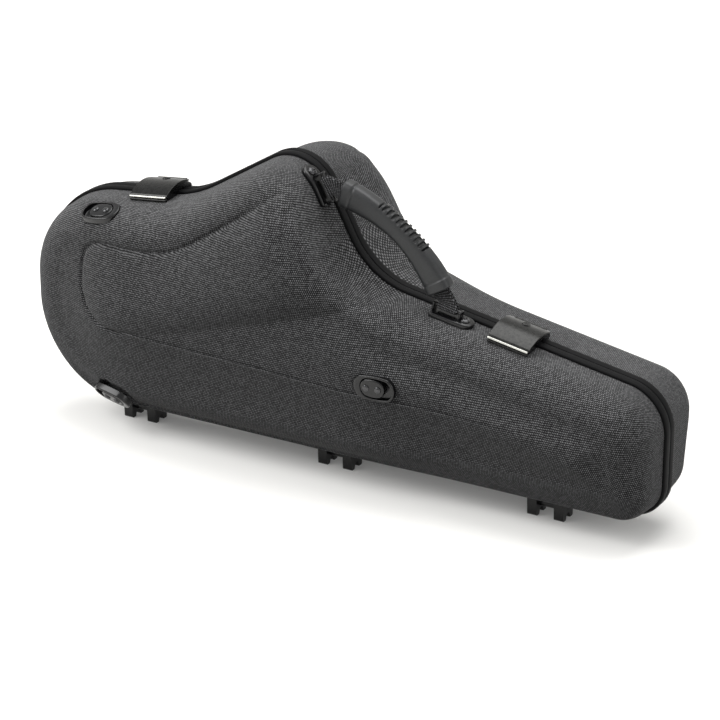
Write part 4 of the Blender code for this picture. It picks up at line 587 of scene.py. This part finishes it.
# levels that turn a wall at one inset into a top at a height by a quarter round
def roundedEdge(inward, height, ease, steps=5):
    turn = np.linspace(0, pi / 2, steps)
    return [(inward + ease * (1 - cos(a)), height - ease * (1 - sin(a))) for a in turn]


# a rod along a frame's x to both sides of its middle, round about a centre (y, z), all in mm
def rod(reach, radius, centre, seat, material, count, steps):
    c, d = radius * np.cos(turnAngles(count)), radius * np.sin(turnAngles(count))
    rings = [np.column_stack([np.full(count, x), centre[0] + c, centre[1] + d]) * mm
             for x in np.linspace(-reach, reach, steps)]
    return ringPiece("rod", placed(rings, seat), material, closeStart=True, closeEnd=True)


# edging

edgingShape = {"start": 0.2, "depth": 8.4, "ease": 1.5, "bulge": 0.25, "inner": 2.7, "floor": 1.9, "flange": 6.0,
               "seam": 0.4}                                         # mm


# points (inset, depth) of the rubber channel: a bead round the outside, a flange between the shells
def edgingSection():
    e, turn = edgingShape, np.linspace(0, pi / 2, 6)
    points = [(e["flange"], e["start"]), (e["ease"] + e["seam"], e["start"])]
    points += [(e["ease"] * (1 - sin(a)), e["start"] + e["ease"] * (1 - cos(a))) for a in turn]
    side = e["depth"] - e["start"] - 2 * e["ease"]
    points += [(-e["bulge"] * sin(pi * k), e["start"] + e["ease"] + side * k) for k in (0.3, 0.5, 0.7)]
    points += [(e["ease"] * (1 - cos(a)), e["depth"] - e["ease"] * (1 - sin(a))) for a in turn]
    return points + [(e["inner"], e["depth"]), (e["inner"], e["floor"]), (e["flange"], e["floor"])]


def buildEdging(name, side, body, node):
    rings = []
    for inset, depth in edgingSection():
        ring = outline(inset * mm)
        rings.append(np.column_stack([ring[:, 0], np.full(len(ring), side * depth * mm), ring[:, 1]]))
    return finished(ringPiece(name, rings, edgingRubber, loopRows=True), body, node)


buildEdging("frontEdging", -1, "base", "front_edging")
buildEdging("rearEdging", 1, "lid", "rear_edging")
print("edging: done")


# plush liners: a height field over the parting plane with the rooms of the instrument

linerShape = {                                                      # mm
    "recess": 1.0, "inset": 6.9, "lip": 3.5, "roll": 2.2, "skirt": 6, "rows": 105, "smoothing": 5,
    "channel": ((-215, 103, 40), (298, 84, 31)),                    # ends: x, z, radius
    "bow": ((-215, 134), (74, 44, 74)),
    "bell": ((-215, 165), (-38, 220), 34, 61, 3.2, 9),              # throat, rim, their radii, flare's power, ease
    "pocket": (104, 149, 112, 24, 36, 0.1864, 2.5),                 # x, z, length, height, depth, slope, ease
}


# how deep the foam is scooped out, in mm: the largest of the rooms, each a solid of revolution or a trough
def roomDepth(x, z, front):
    shape = linerShape
    (x0, z0, r0), (x1, z1, r1) = shape["channel"]
    share = (x - x0) / (x1 - x0)
    radius = r0 + (r1 - r0) * share
    inside = (share > 0) & (share < 1)
    depth = np.sqrt(np.maximum(0, radius ** 2 - (z - z0 - (z1 - z0) * share) ** 2)) * inside
    (bx, bz), (rx, ry, rz) = shape["bow"]
    depth = np.maximum(depth, ry * np.sqrt(np.maximum(0, 1 - ((x - bx) / rx) ** 2 - ((z - bz) / rz) ** 2)))
    (sx, sz), (ex, ez), throat, rim, power, ease = shape["bell"]
    way = np.array([ex - sx, ez - sz], float)
    length = np.hypot(*way)
    way /= length
    along = ((x - sx) * way[0] + (z - sz) * way[1]) / length
    across = -(x - sx) * way[1] + (z - sz) * way[0]
    radius = throat + (rim - throat) * np.clip(along, 0, 1) ** power
    ends = smoothStep(along * length / ease) * smoothStep((1 - along) * length / ease)
    depth = np.maximum(depth, np.sqrt(np.maximum(0, radius ** 2 - across ** 2)) * ends)
    if front:
        px, pz, long, high, deep, slope, ease = shape["pocket"]
        c, s = cos(atan2(slope, 1)), sin(atan2(slope, 1))
        u, v = (x - px) * c - (z - pz) * s, (x - px) * s + (z - pz) * c
        box = smoothStep((long / 2 - np.abs(u)) / ease + 1) * smoothStep((high / 2 - np.abs(v)) / ease + 1)
        depth = np.maximum(depth, deep * box)
    return depth


def buildLiner(name, side, body, nodes):
    shape = linerShape
    edge = outline(shape["inset"] * mm)
    target = spineTargets(edge)
    shares = np.linspace(0, 1, shape["rows"])[:, None, None]
    flat = edge[None] + (target - edge)[None] * shares
    depth = roomDepth(flat[..., 0] / mm, flat[..., 1] / mm, side < 0)
    for _ in range(shape["smoothing"]):                           # the plush rounds every edge of the foam
        depth[1:-1] = (depth[:-2] + 2 * depth[1:-1] + depth[2:]) / 4
        depth = (np.roll(depth, 1, 1) + 2 * depth + np.roll(depth, -1, 1)) / 4
    fromEdge = np.minimum(1, np.linalg.norm(flat - edge[None], axis=-1) / mm / shape["lip"])
    rolled = shape["roll"] * (1 - np.sqrt(np.clip(1 - (1 - fromEdge) ** 2, 0, 1)))
    y = side * (shape["recess"] + depth + rolled) * mm
    rings = np.stack([flat[..., 0], y, flat[..., 1]], -1)
    skirt = rings[:1] + np.array([0, side * shape["skirt"] * mm, 0])
    piece = ringPiece(name, np.concatenate([skirt, rings]), plush)
    return finished(piece, body, *nodes)


buildLiner("frontPlush", -1, "base", [f"front_liner_{word}" for word in ("bow", "bell", "pocket", "neck")])
buildLiner("rearPlush", 1, "lid", [f"rear_liner_{word}" for word in ("bow", "bell", "crook", "neck")])
print("liners: done")


# places on the upper side of the outline

edgeLine = outline(0.0)
firstUpper = arcSteps[0] + sideSteps[0] + arcSteps[1] + sideSteps[1]
upperLine = edgeLine[firstUpper:len(edgeLine) - sideSteps[-1] + 1][::-1]
upperRun = np.concatenate([[0], np.cumsum(np.linalg.norm(np.diff(upperLine, axis=0), axis=1))])
upperX = np.maximum.accumulate(upperLine[:, 0])


# points (n, 3) at a run along the upper side, at y from the parting plane, height above the side wall there
def onUpper(run, y, height):
    run, y, height = np.broadcast_arrays(np.asarray(run, float), y, height)
    behind, at, ahead = (np.stack([np.interp(run + step, upperRun, upperLine[:, k]) for k in (0, 1)], -1)
                         for step in (-2 * mm, 0, 2 * mm))
    way = ahead - behind
    way /= np.linalg.norm(way, axis=-1)[..., None]
    out = height - wallInset(np.abs(y))
    return np.stack([at[..., 0] - way[..., 1] * out, y, at[..., 1] + way[..., 0] * out], -1)


# frame on the upper side wall: X along the outline, Z out of the case
def wallFrame(run, y):
    spot, ahead, behind = onUpper(run, y, 0.0), onUpper(run + 6 * mm, y, 0.0), onUpper(run - 6 * mm, y, 0.0)
    way = Vector(ahead - behind).normalized()
    across = Vector((0, 1, 0))
    made = Matrix((way, across, way.cross(across))).transposed().to_4x4()
    made.translation = Vector(spot)
    return made


# place of a joint of the record, from the parting plane, and its axis
def jointPlace(name):
    found = next(j for j in frame["record"]["behaviour"]["joints"] if j["name"] == name)
    return Vector(found["pos_m"]) - Vector((0, partingY, 0)), Vector(found["axis"]).normalized()


# low dome turned round Z from z = 0, with a cross recess if one is wanted
def domedHead(radius, rise, recess=0.0, sides=40):
    dome = np.linspace(0.98, 0, 26)
    shares = np.concatenate([[1.0, 1.0], dome])
    heights = np.concatenate([[-0.6 * mm, 0.0], rise * np.sqrt(1 - (dome * 0.98) ** 2)])
    angle = turnAngles(sides)
    x, y = radius * shares[:, None] * np.cos(angle), radius * shares[:, None] * np.sin(angle)
    z = np.broadcast_to(heights[:, None], x.shape).copy()
    if recess:
        arm, long = radius * 0.13, radius * 0.6
        cross = sum(np.minimum(1, np.maximum(0, 1.6 - np.abs(a) / arm)) * (np.abs(b) < long)
                    for a, b in ((x, y), (y, x)))
        z -= recess * np.minimum(1, cross) * (heights > 0)[:, None]
    return np.stack([x, y, z], -1)


# handle

handleShape = {                                                    # mm
    "bracketY": -19.2, "runs": {"high": -11.3, "low": 115}, "width": 18, "thick": 4.2, "reach": 25,
    "barRise": 5.4, "barRadius": 1.9, "screwOffset": 18.4, "screwRadius": 4.4, "screwDome": 1.9, "recess": 0.8,
    "ear": 1.8, "earWidth": 8, "tip": 0.95, "ease": 2.0, "sagitta": 21,
    "webLength": 17, "webWidth": 22, "webThick": 1.5, "webTuck": 8, "gripShare": 0.74, "barShare": 0.86,
    "gripEnd": 25, "gripWidth": 18.5, "gripThick": 17, "square": 3.4, "corner": (1.8, 0.13),
    "collar": (0.55, 9, 1.2, 0.6, 10, 0.9),                        # rise, length, ease, groove's share, place, width
    "ribs": 10, "ribPitch": 5.3, "ribHeight": 3.7, "ribFloor": 2.4,
}


def barPlace(label):
    run = float(np.interp(handleShape["runs"][label] * mm, upperX, upperRun))
    made = wallFrame(run, handleShape["bracketY"] * mm)
    return run, made, made @ Vector((0, 0, (handleShape["thick"] + handleShape["barRise"]) * mm))


def archPlaces():
    high, low = barPlace("high")[2], barPlace("low")[2]
    chord = low - high
    span, bow = chord.length, handleShape["sagitta"] * mm
    radius = (span ** 2 / 4 + bow ** 2) / (2 * bow)
    along = chord / span
    up = Vector((-along.z, 0, along.x))
    centre = (high + low) / 2 - up * (radius - bow)
    spread = 2 * acos((radius - bow) / radius)
    return np.array(centre), radius, np.array(up), np.array(along), spread


arch = archPlaces()
archLength = arch[1] * arch[4]


# points, directions and outward normals (n, 3) on the handle's middle line
def onArch(run):
    centre, radius, up, along, spread = arch
    angle = (-spread / 2 + np.asarray(run, float) / radius)[..., None]
    out = up * np.cos(angle) + along * np.sin(angle)
    return centre + out * radius, along * np.cos(angle) - up * np.sin(angle), out


# sections of the grip along the arch: collars at both ends, a waist, and cross ribs on the top of its middle
def buildGrip():
    h = handleShape
    start, end = h["webLength"] * mm, archLength - h["webLength"] * mm
    length, dense = end - start, 2 * mm
    run = np.unique(np.concatenate([np.linspace(0, dense, 7), np.linspace(dense, length - dense, 330),
                                    np.linspace(length - dense, length, 7)]))
    fromEnd = np.minimum(run, length - run)
    ring = squareRing(1.0, 1.0, h["square"], 72)
    spot, _, out = onArch(start + run)
    widen = 1 - smoothStep(fromEnd / (length / 2))
    rise, long, ease, share, place, width = h["collar"]
    groove = share * np.exp(-((fromEnd - place * mm) / (width * mm)) ** 2)
    collar = rise * mm * (smoothStep((long * mm - fromEnd) / (ease * mm)) - groove)
    radius, drawnIn = h["corner"]
    corner = np.sqrt(np.clip(1 - (1 - np.minimum(1, fromEnd / (radius * mm))) ** 2, 0, 1))
    corner = 1 - drawnIn + drawnIn * corner
    halfOut = ((h["gripWidth"] + (h["gripEnd"] - h["gripWidth"]) * widen) / 2 * mm + collar) * corner
    halfSide = (h["gripThick"] / 2 * mm + collar) * corner
    place = (run - length / 2) / (h["ribPitch"] * mm)
    wave = 0.5 - 0.5 * np.cos(2 * pi * place)
    ribs = smoothStep((wave - 0.4) / 0.3) * (np.abs(place) < h["ribs"] / 2)
    zone = smoothStep((h["ribs"] / 2 + 0.1 - np.abs(place)) / 0.3)
    lift, side = ring[:, 0], ring[:, 1]
    onTop = smoothStep((lift - 0.55) / 0.35) * smoothStep((0.86 - np.abs(side)) / 0.14)
    rise = lift * halfOut[:, None] + onTop * (h["ribHeight"] * mm * ribs - h["ribFloor"] * mm * zone)[:, None]
    sideways = np.array([0, 1, 0]) * (side * halfSide[:, None])[..., None]
    rings = spot[:, None] + out[:, None] * rise[..., None] + sideways
    piece = ringPiece("grip", rings, gripRubber, closeStart=True, closeEnd=True)
    return finished(piece, "handle", "handle_grip")


# Catmull-Rom line through points (n, k), at an even step
def smoothPath(points, count):
    points = np.asarray(points, float)
    padded = np.concatenate([2 * points[:1] - points[1:2], points, 2 * points[-1:] - points[-2:-1]])
    t, fine = np.linspace(0, 1, 24, endpoint=False)[:, None], []
    for k in range(len(points) - 1):
        a, b, c, d = padded[k:k + 4]
        square, cube = 2 * a - 5 * b + 4 * c - d, 3 * b - a - 3 * c + d
        fine.append(0.5 * (2 * b + (c - a) * t + square * t ** 2 + cube * t ** 3))
    fine = np.concatenate(fine + [points[-1:]])
    run = np.concatenate([[0], np.cumsum(np.linalg.norm(np.diff(fine[:, :3], axis=0), axis=1))])
    even = np.linspace(0, run[-1], count)
    return np.stack([np.interp(even, run, fine[:, k]) for k in range(fine.shape[1])], 1), even


# band from the grip round the bracket's bar and back, its edges rounded and its width drawn in
def buildWeb(name, label, node):
    h = handleShape
    _, wall, bar = barPlace(label)
    fromEnd = {"high": lambda run: run, "low": lambda run: archLength - run}[label]
    inside, _, out = onArch(fromEnd((h["webLength"] + h["webTuck"] - 0.6) * mm))
    mouth, _, outMouth = onArch(fromEnd(h["webLength"] * mm))
    inside, out, mouth, outMouth, bar = (np.array(v, float).reshape(3) for v in (inside, out, mouth, outMouth, bar))
    barWay = np.array(wall.to_3x3().col[0])
    if out @ barWay < 0:
        barWay = -barWay
    side = np.array([0.0, 1.0, 0.0])
    layer, wrap = (h["webThick"] / 2 + 0.3) * mm, (h["barRadius"] + 0.3 + h["webThick"] / 2) * mm
    away = bar - mouth
    away -= barWay * (away @ barWay)
    away /= np.linalg.norm(away)
    over = bar - away * (h["barRadius"] + 1.6) * mm
    grip, held = h["gripShare"], h["barShare"]                     # shares of the band's width
    path = [(inside + side * layer, side, out, grip), (mouth + side * layer, side, outMouth, grip),
            (over + side * layer * 1.6, side, barWay, held)]
    for angle in np.linspace(0, pi, 9):
        normal = side * cos(angle) + away * sin(angle)
        path.append((bar + normal * wrap, normal, barWay, held))
    path += [(over - side * layer * 1.6, -side, barWay, held), (mouth - side * layer, -side, outMouth, grip),
             (inside - side * layer, -side, out, grip)]
    table, run = smoothPath([np.concatenate([p, n, w, [s]]) for p, n, w, s in path], 150)
    spot, normal, wide, share = table[:, :3], table[:, 3:6], table[:, 6:9], table[:, 9]
    wide /= np.linalg.norm(wide, axis=1)[:, None]
    normal -= wide * (normal * wide).sum(1)[:, None]
    normal /= np.linalg.norm(normal, axis=1)[:, None]
    section = squareRing(1.0, 1.0, 6.0, 56)
    half = h["webWidth"] / 2 * mm * share
    rings = (spot[:, None] + wide[:, None] * (section[:, 0] * half[:, None])[..., None]
             + normal[:, None] * (section[:, 1] * h["webThick"] / 2 * mm)[None, :, None])
    around = section[:, 0] * h["webWidth"] / 2 + section[:, 1] * 3
    cloth = np.stack(np.broadcast_arrays(around, run[:, None] / mm), -1)
    cloth = np.concatenate([cloth[:1], cloth, cloth[-1:]])
    piece = ringPiece(name, rings, webbing, cloth.reshape(-1, 2), closeStart=True, closeEnd=True)
    finished(piece, None, node)
    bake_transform(piece)      # it bends between the bar and the grip


# drop shape: a round end at the screw, a straight end at the bar, drawn in by a distance
def bracketRim(inward):
    h = handleShape
    radius, ear, ease = h["width"] / 2 - inward, h["reach"] / 2, h["ease"]
    turn, quarter = np.linspace(pi / 2, 3 * pi / 2, 33), np.linspace(0, pi / 2, 7)
    tip = h["width"] / 2 * h["tip"] - inward
    left = np.stack([-h["screwOffset"] + tip * np.cos(turn), tip * np.sin(turn)], 1)
    right = ear + h["ear"] - inward
    lower = np.stack([np.linspace(-ear, right - ease, 14), np.full(14, -radius)], 1)
    corner = np.stack([right - ease + ease * np.sin(quarter), -radius + ease * (1 - np.cos(quarter))], 1)[1:]
    edge = np.stack([np.full(9, right), np.linspace(-radius + ease, radius - ease, 9)], 1)[1:-1]
    other, upper = (line[::-1] * np.array([1, -1]) for line in (corner, lower))
    return np.concatenate([left, lower, corner, edge, other, upper]) * mm


def buildBracket(name, label, flip, node):
    h = handleShape
    run, wall, _ = barPlace(label)
    levels = [(0.0, 0.35)] + roundedEdge(0.0, h["thick"], 1.5, 7) + [(2.4, h["thick"] + 0.15)]
    flat = roundedStack(bracketRim, [(i, z * mm) for i, z in levels])
    inner = flat[-1]
    spine = np.clip(inner[:, 0], -h["screwOffset"] * mm, 6 * mm)
    middle = np.column_stack([spine, np.zeros(len(inner)), inner[:, 2]])
    rings = np.concatenate([flat, inner + (middle - inner) * np.linspace(0, 1, 9)[1:, None, None]])
    onWall = onUpper(run + flip * rings[..., 0], h["bracketY"] * mm + rings[..., 1], rings[..., 2])
    parts = [ringPiece("plate", onWall, mouldedPlastic)]
    rise, ear = h["thick"] + h["barRise"], h["reach"] / 2
    half = (rise + h["barRadius"] + 0.4 - 1.0) / 2
    levels = [(1.2, 0.0), (0.3, 0.1), (0.0, 0.5), (0.0, h["ear"] - 0.5), (0.3, h["ear"] - 0.1), (1.2, h["ear"])]
    for side in (-1, 1):
        rings = []
        for ease, x in levels:
            loop = squareRing(h["earWidth"] / 2 - ease, half - ease, 4.0, 40) + (0, 1.0 + half)
            rings.append(np.column_stack([np.full(len(loop), side * (ear + x)), loop]) * mm)
        parts.append(ringPiece("ear", placed(rings, wall), mouldedPlastic, closeStart=True, closeEnd=True))
    parts.append(rod(ear, h["barRadius"], (0, rise), wall, mouldedPlastic, 32, 5))
    finished(joined(name, parts), "base", node, material=mouldedPlastic)
    seat = wallFrame(run - flip * h["screwOffset"] * mm, h["bracketY"] * mm)
    head = domedHead(h["screwRadius"] * mm, h["screwDome"] * mm, h["recess"] * mm)
    head[..., 2] += (h["thick"] + 0.3) * mm
    screw = ringPiece("screw" + label.capitalize(), placed(head, seat), darkSteel)
    finished(screw, "base", "bracket_screw_" + label)


buildGrip()
buildWeb("webHigh", "high", "handle_web_high")
buildWeb("webLow", "low", "handle_web_low")
buildBracket("bracketHigh", "high", 1, "handle_bracket_high")
buildBracket("bracketLow", "low", -1, "handle_bracket_low")
print("handle: done")


# latches

latchShape = {                                                     # mm
    "width": 41, "flare": 1.8, "near": (-29, 1.1), "far": (15.5, 4.3), "sagitta": 6.0, "thick": 1.5, "corner": 9.0,
    "ease": 0.45, "axis": (12.6, -0.2), "barrel": 2.7, "barrelInset": 4.6, "web": (1.6, 3.2, 3.4),
    "lipDepth": 1.9, "lipHeight": 1.9, "barDepth": 3.4, "barHeight": 2.6, "barStart": 1.7, "gap": 0.3,
    "lockRadius": 3.9, "lockProud": 0.6, "slot": (4.6, 1.1, 2.4),
}


# the latch's own frame, found from its lever's joint: X along the case, Z out of it
def latchFrame(label):
    spot, axis = jointPlace("latch_lever_" + label)
    way, across = -axis, Vector((0, 1, 0))
    up = way.cross(across)
    made = Matrix((way, across, up)).transposed().to_4x4()
    made.translation = spot - across * latchShape["axis"][0] * mm - up * latchShape["axis"][1] * mm
    return made


def coverArc():
    near, far = np.array(latchShape["near"], float), np.array(latchShape["far"], float)
    chord, bow = far - near, latchShape["sagitta"]
    span = np.linalg.norm(chord)
    radius = (span ** 2 / 4 + bow ** 2) / (2 * bow)
    up = np.array([-chord[1], chord[0]]) / span
    return (near + far) / 2 - up * (radius - bow), radius


# curved plate: rows across its width, each a closed strip along the arc whose far end turns in at the corners
def buildCover(name, label):
    h, (centre, radius) = latchShape, coverArc()
    first, last = (acos((y - centre[0]) / radius) for y in (h["near"][0], h["far"][0]))
    length, half, ease = (first - last) * radius, h["width"] / 2, h["ease"]
    ends = 0.03 * (1 - np.cos(np.linspace(0, pi / 2, 9)))
    rings = []
    for u in np.concatenate([-1 + ends, np.linspace(-0.97, 0.97, 61)[1:-1], 1 - ends[::-1]]):
        side = abs(u) * half
        over = max(0.0, side - (half - h["corner"]))
        end = length - (h["corner"] - np.sqrt(max(0.0, h["corner"] ** 2 - over ** 2)))
        thin = np.sqrt(max(0.0, 1 - max(0.0, (side - half + ease) / ease) ** 2))
        along = np.linspace(0, end, 46)
        edge = np.minimum(1, np.minimum(along, end - along) / ease)
        deep = h["thick"] / 2 * np.sqrt(np.clip(1 - (1 - edge) ** 2, 0, 1)) * (0.15 + 0.85 * thin)
        loop = np.concatenate([np.stack([along, deep], 1), np.stack([along, -deep], 1)[::-1]])
        angle, r = first - loop[:, 0] / radius, radius - h["thick"] / 2 + loop[:, 1]
        wide = half * u + u * h["flare"] / 2 * smoothStep(loop[:, 0] / length)
        rings.append(np.column_stack([wide, centre[0] + r * np.cos(angle), centre[1] + r * np.sin(angle)]))
    seat = latchFrame(label)
    cover = ringPiece("plate", placed(np.array(rings) * mm, seat), darkChrome, closeStart=True, closeEnd=True)
    inside = half - h["barrelInset"]
    barrel = rod(inside, h["barrel"], h["axis"], seat, darkChrome, 28, 4)
    halfDeep, halfHigh, up = h["web"]
    section = squareRing(halfDeep, halfHigh, 5, 24) + np.array(h["axis"]) + (0, up)
    web = [np.column_stack([np.full(len(section), x), section]) * mm for x in (-inside, inside)]
    web = ringPiece("web", placed(web, seat), darkChrome, closeStart=True, closeEnd=True)
    piece = joined(name, [cover, barrel, web])
    finished(piece, "lever_" + label, "latch_lever_" + label, material=darkChrome)


# rounded bar along the latch's near edge between two corners of its box
def buildBeam(name, label, low, high, power, material, body, node):
    low, high = np.array(low, float), np.array(high, float)
    middle, half, ease = (low + high) / 2, (high - low) / 2, 0.7
    x = half[0] * np.sin(np.linspace(-pi / 2, pi / 2, 41))
    end = np.sqrt(np.clip(1 - np.maximum(0, (np.abs(x) - half[0] + ease) / ease) ** 2, 0.02, 1))[:, None]
    loop = squareRing(1.0, 1.0, power, 36)
    wide = np.broadcast_to(x[:, None], (len(x), len(loop)))
    rings = np.stack([wide, loop[:, 0] * half[1] * end, loop[:, 1] * half[2] * end], -1) + middle
    piece = ringPiece(name, placed(rings * mm, latchFrame(label)), material, closeStart=True, closeEnd=True)
    finished(piece, body, node)


# round lock flush with the cover: a ring, a face and a key slot cut across it
def buildLock(name, label):
    h = latchShape
    spot, axis = jointPlace("lock_" + label)
    across = (-jointPlace("latch_lever_" + label)[1]).normalized()
    seat = Matrix((across, axis.cross(across).normalized(), axis)).transposed().to_4x4()
    seat.translation = spot
    shares = np.concatenate([[1, 1, 0.96, 0.8, 0.77, 0.74], np.linspace(0.7, 0, 30)])
    rim = h["lockProud"] + np.array([-0.2, 0.0, 0.0, -0.3, -0.3])
    heights = np.concatenate([[-2.2], rim, np.full(30, h["lockProud"] - 0.25)]) * mm
    angle, radius = turnAngles(48), h["lockRadius"] * mm * shares[:, None]
    x, y = radius * np.cos(angle), radius * np.sin(angle)
    z = np.broadcast_to(heights[:, None], x.shape).copy()
    long, wide, deep = (v * mm for v in h["slot"])
    z -= deep * ((np.abs(x) < long / 2) & (np.abs(y) < wide / 2))
    piece = ringPiece(name, placed(np.stack([x, y, z], -1), seat), darkChrome)
    finished(piece, "lock_" + label, "latch_lock_" + label)


def buildLatch(label):
    h, word = latchShape, label.capitalize()
    (nearY, nearZ), gap = h["near"], h["gap"]
    half = h["width"] / 2 - gap
    buildCover("cover" + word, label)
    lipHigh = (half, nearY - gap, nearZ)
    lipLow = (-half, nearY - h["lipDepth"] - gap, nearZ - h["lipHeight"])
    buildBeam("lip" + word, label, lipLow, lipHigh, 3.0, brightChrome, "lever_" + label, "latch_lip_" + label)
    barLow = (-half, nearY - h["barStart"], gap - wallInset(abs(nearY) * mm) / mm)
    barHigh = (half, barLow[1] + h["barDepth"], barLow[2] + h["barHeight"])
    buildBeam("keeperBar" + word, label, barLow, barHigh, 2.6, darkChrome, "base", "keeper_bar_" + label)
    buildLock("lock" + word, label)


buildLatch("left")
buildLatch("right")
print("latches: done")


# strap anchors

# a cup with a deep round well, a boss with round ends standing in it and two rivets
def buildAnchor(label):
    h, word, seat = anchorShape, label.capitalize(), anchorFrame(label)
    outer = stadiumRing(h["length"], h["width"], 0.0)
    shift = (h["closedRim"] - h["rim"]) / 2
    inner = stadiumRing(h["length"] - h["rim"] - h["closedRim"], h["width"] - 2 * h["rim"], shift)
    top, floor = h["proud"], h["proud"] - h["well"]

    def ring(share, height, inward=0.0):
        base = outer + (inner - outer) * share
        drawn = base * (1 - inward / np.maximum(1.0, np.linalg.norm(base, axis=1)))[:, None]
        return np.column_stack([drawn, np.full(len(base), height)]) * mm

    levels = [(0, -3.0), (0, top - 1.4), (0, top - 0.8, 0.12), (0, top - 0.35, 0.45), (0, top, 1.0),
              (0.5, top + 0.05), (0.82, top - 0.05), (0.95, top - 0.3), (1.0, top - 0.9), (1.0, floor + 0.5),
              (1.0, floor + 0.15, 0.4), (1.0, floor, 1.0)]
    rings = [ring(*level) for level in levels]
    middle = np.array([shift, 0, floor]) * mm
    rings += [middle + (rings[-1] - middle) * share for share in (0.6, 0.3, 0.0)]
    finished(ringPiece("anchor" + word, placed(rings, seat), mouldedPlastic), "base", "strap_anchor_" + label)
    bossX = h["closedRim"] - h["length"] / 2 + 0.3 + h["bossLength"] / 2

    def bossRim(inward):
        return stadiumRing(h["bossLength"] - 2 * inward, h["bossWidth"] - 2 * inward, bossX) * mm

    levels = [(0.0, floor + 0.3)] + roundedEdge(0.0, h["bossProud"], 1.6, 7)
    levels += [(inward, h["bossProud"] + rise) for inward, rise in ((3.5, 0.12), (6.0, 0.16), (8.6, 0.18))]
    rings = roundedStack(bossRim, [(i, z * mm) for i, z in levels])
    boss = ringPiece("boss" + word, placed(rings, seat), mouldedPlastic, closeEnd=True)
    finished(boss, "base", "anchor_boss_" + label)
    for side, end in ((-1, "inner"), (1, "outer")):
        head = domedHead(h["rivetRadius"] * mm, h["rivetDome"] * mm, sides=36)
        head += np.array([bossX + side * h["rivetPitch"] / 2, 0, h["bossProud"] + 0.3]) * mm
        rivet = ringPiece("rivet" + word + end.capitalize(), placed(head, seat), darkSteel)
        finished(rivet, "base", f"anchor_rivet_{label}_{end}")


for label in anchorShape["places"]:
    buildAnchor(label)
print("anchors: done")

# the CAD solids that stay take their finish from the record's slots
slots = {
    "rubber": edgingRubber, "foam": plush, "plastic": mouldedPlastic, "dark_chrome": darkChrome,
    "bright_chrome": brightChrome, "steel": darkSteel, "grip": gripRubber, "webbing": webbing, "fabric": twill,
}
for entry in frame["record"]["subparts"]:
    node = frame["nodes"][entry["node"]]
    node.data.materials.clear()
    node.data.materials.append(slots[entry["material_slot"]])
print("solids: dressed")


# studio

studio = {                                                         # metres and watts
    "floor": "#f4f3f0", "bounce": "#545452", "world": "#ffffff", "worldLight": 0.78, "lift": 0.09,
    "reach": 3.0, "curve": 1.2, "halfWidth": 4.0, "wall": 4.0, "aim": (0, 0, 0.15),
    "lamps": {"keyLight": ((-1.4, -1.2, 1.6), 1.4, 38), "topLight": ((0.1, 0.5, 2.2), 1.8, 38),
              "fillLight": ((2.2, -0.3, 0.9), 1.2, 9)},            # place, size, power
}
photoView = {"lens": 140.75, "sensor": 36, "azimuth": 30, "elevation": 22.6, "place": (1.2007, -2.0531, 1.0954)}


def buildStudio():
    scene = bpy.context.scene
    made, node = newMaterial("paleFloor")
    ray = node("LightPath").outputs
    seen = node("Math", "MAXIMUM", ray["Is Glossy Ray"], ray["Is Transmission Ray"])
    seen = node("Math", "MAXIMUM", ray["Is Camera Ray"], seen)
    colour = node("ValToRGB", {"stops": [(0.0, studio["bounce"]), (1.0, studio["floor"])]}, seen)
    matte = node("BsdfDiffuse", Color=colour)                      # darker to the case than to the camera
    glow = node("Emission", Strength=node("Math", "MULTIPLY", seen, studio["lift"]))       # lightens the shadow
    node("OutputMaterial", Surface=node("AddShader", None, matte, glow))
    reach, curve, wide = studio["reach"], studio["curve"], studio["halfWidth"]
    bend = [(reach - curve + curve * sin(a), curve - curve * cos(a)) for a in np.linspace(0.1, pi / 2, 12)]
    profile = [(-reach, 0.0), (reach - curve, 0.0)] + bend + [(reach, studio["wall"])]
    rows = np.array([[(x, y, z) for x in (-wide, wide)] for y, z in profile])
    floor = meshObject("studioFloor", rows.reshape(-1, 3), gridFaces(len(profile), 2, loopColumns=False), made)
    world = bpy.data.worlds.new("studioWorld")
    scene.world = world
    world.use_nodes = True
    world.node_tree.nodes.clear()
    node = partial(addNode, world.node_tree)
    seen = node("LightPath").outputs["Is Camera Ray"]
    strength = node("Mix", Factor=seen, A=studio["worldLight"], B=1.0)
    node("OutputWorld", Surface=node("Background", Color=linearColour(studio["world"]), Strength=strength))
    for name, (spot, size, power) in studio["lamps"].items():
        lamp = bpy.data.lights.new(name, "AREA")
        lamp.energy, lamp.size = power, size
        holder = bpy.data.objects.new(name, lamp)
        holder.location = spot
        holder.rotation_euler = (Vector(studio["aim"]) - Vector(spot)).to_track_quat("-Z", "Y").to_euler()
        scene.collection.objects.link(holder)


def buildCamera():
    view = bpy.data.cameras.new("photoCamera")
    view.lens, view.sensor_width = photoView["lens"], photoView["sensor"]
    holder = bpy.data.objects.new("photoCamera", view)
    azimuth, elevation = radians(photoView["azimuth"]), radians(photoView["elevation"])
    back = Vector((sin(azimuth) * cos(elevation), -cos(azimuth) * cos(elevation), sin(elevation)))
    x, y, z = photoView["place"]
    holder.location = (x, y + partingY, z)
    holder.rotation_euler = (-back).to_track_quat("-Z", "Y").to_euler()
    bpy.context.scene.collection.objects.link(holder)
    bpy.context.scene.camera = holder


buildStudio()
buildCamera()
bpy.context.scene.view_settings.view_transform = "Standard"
print("studio: done")
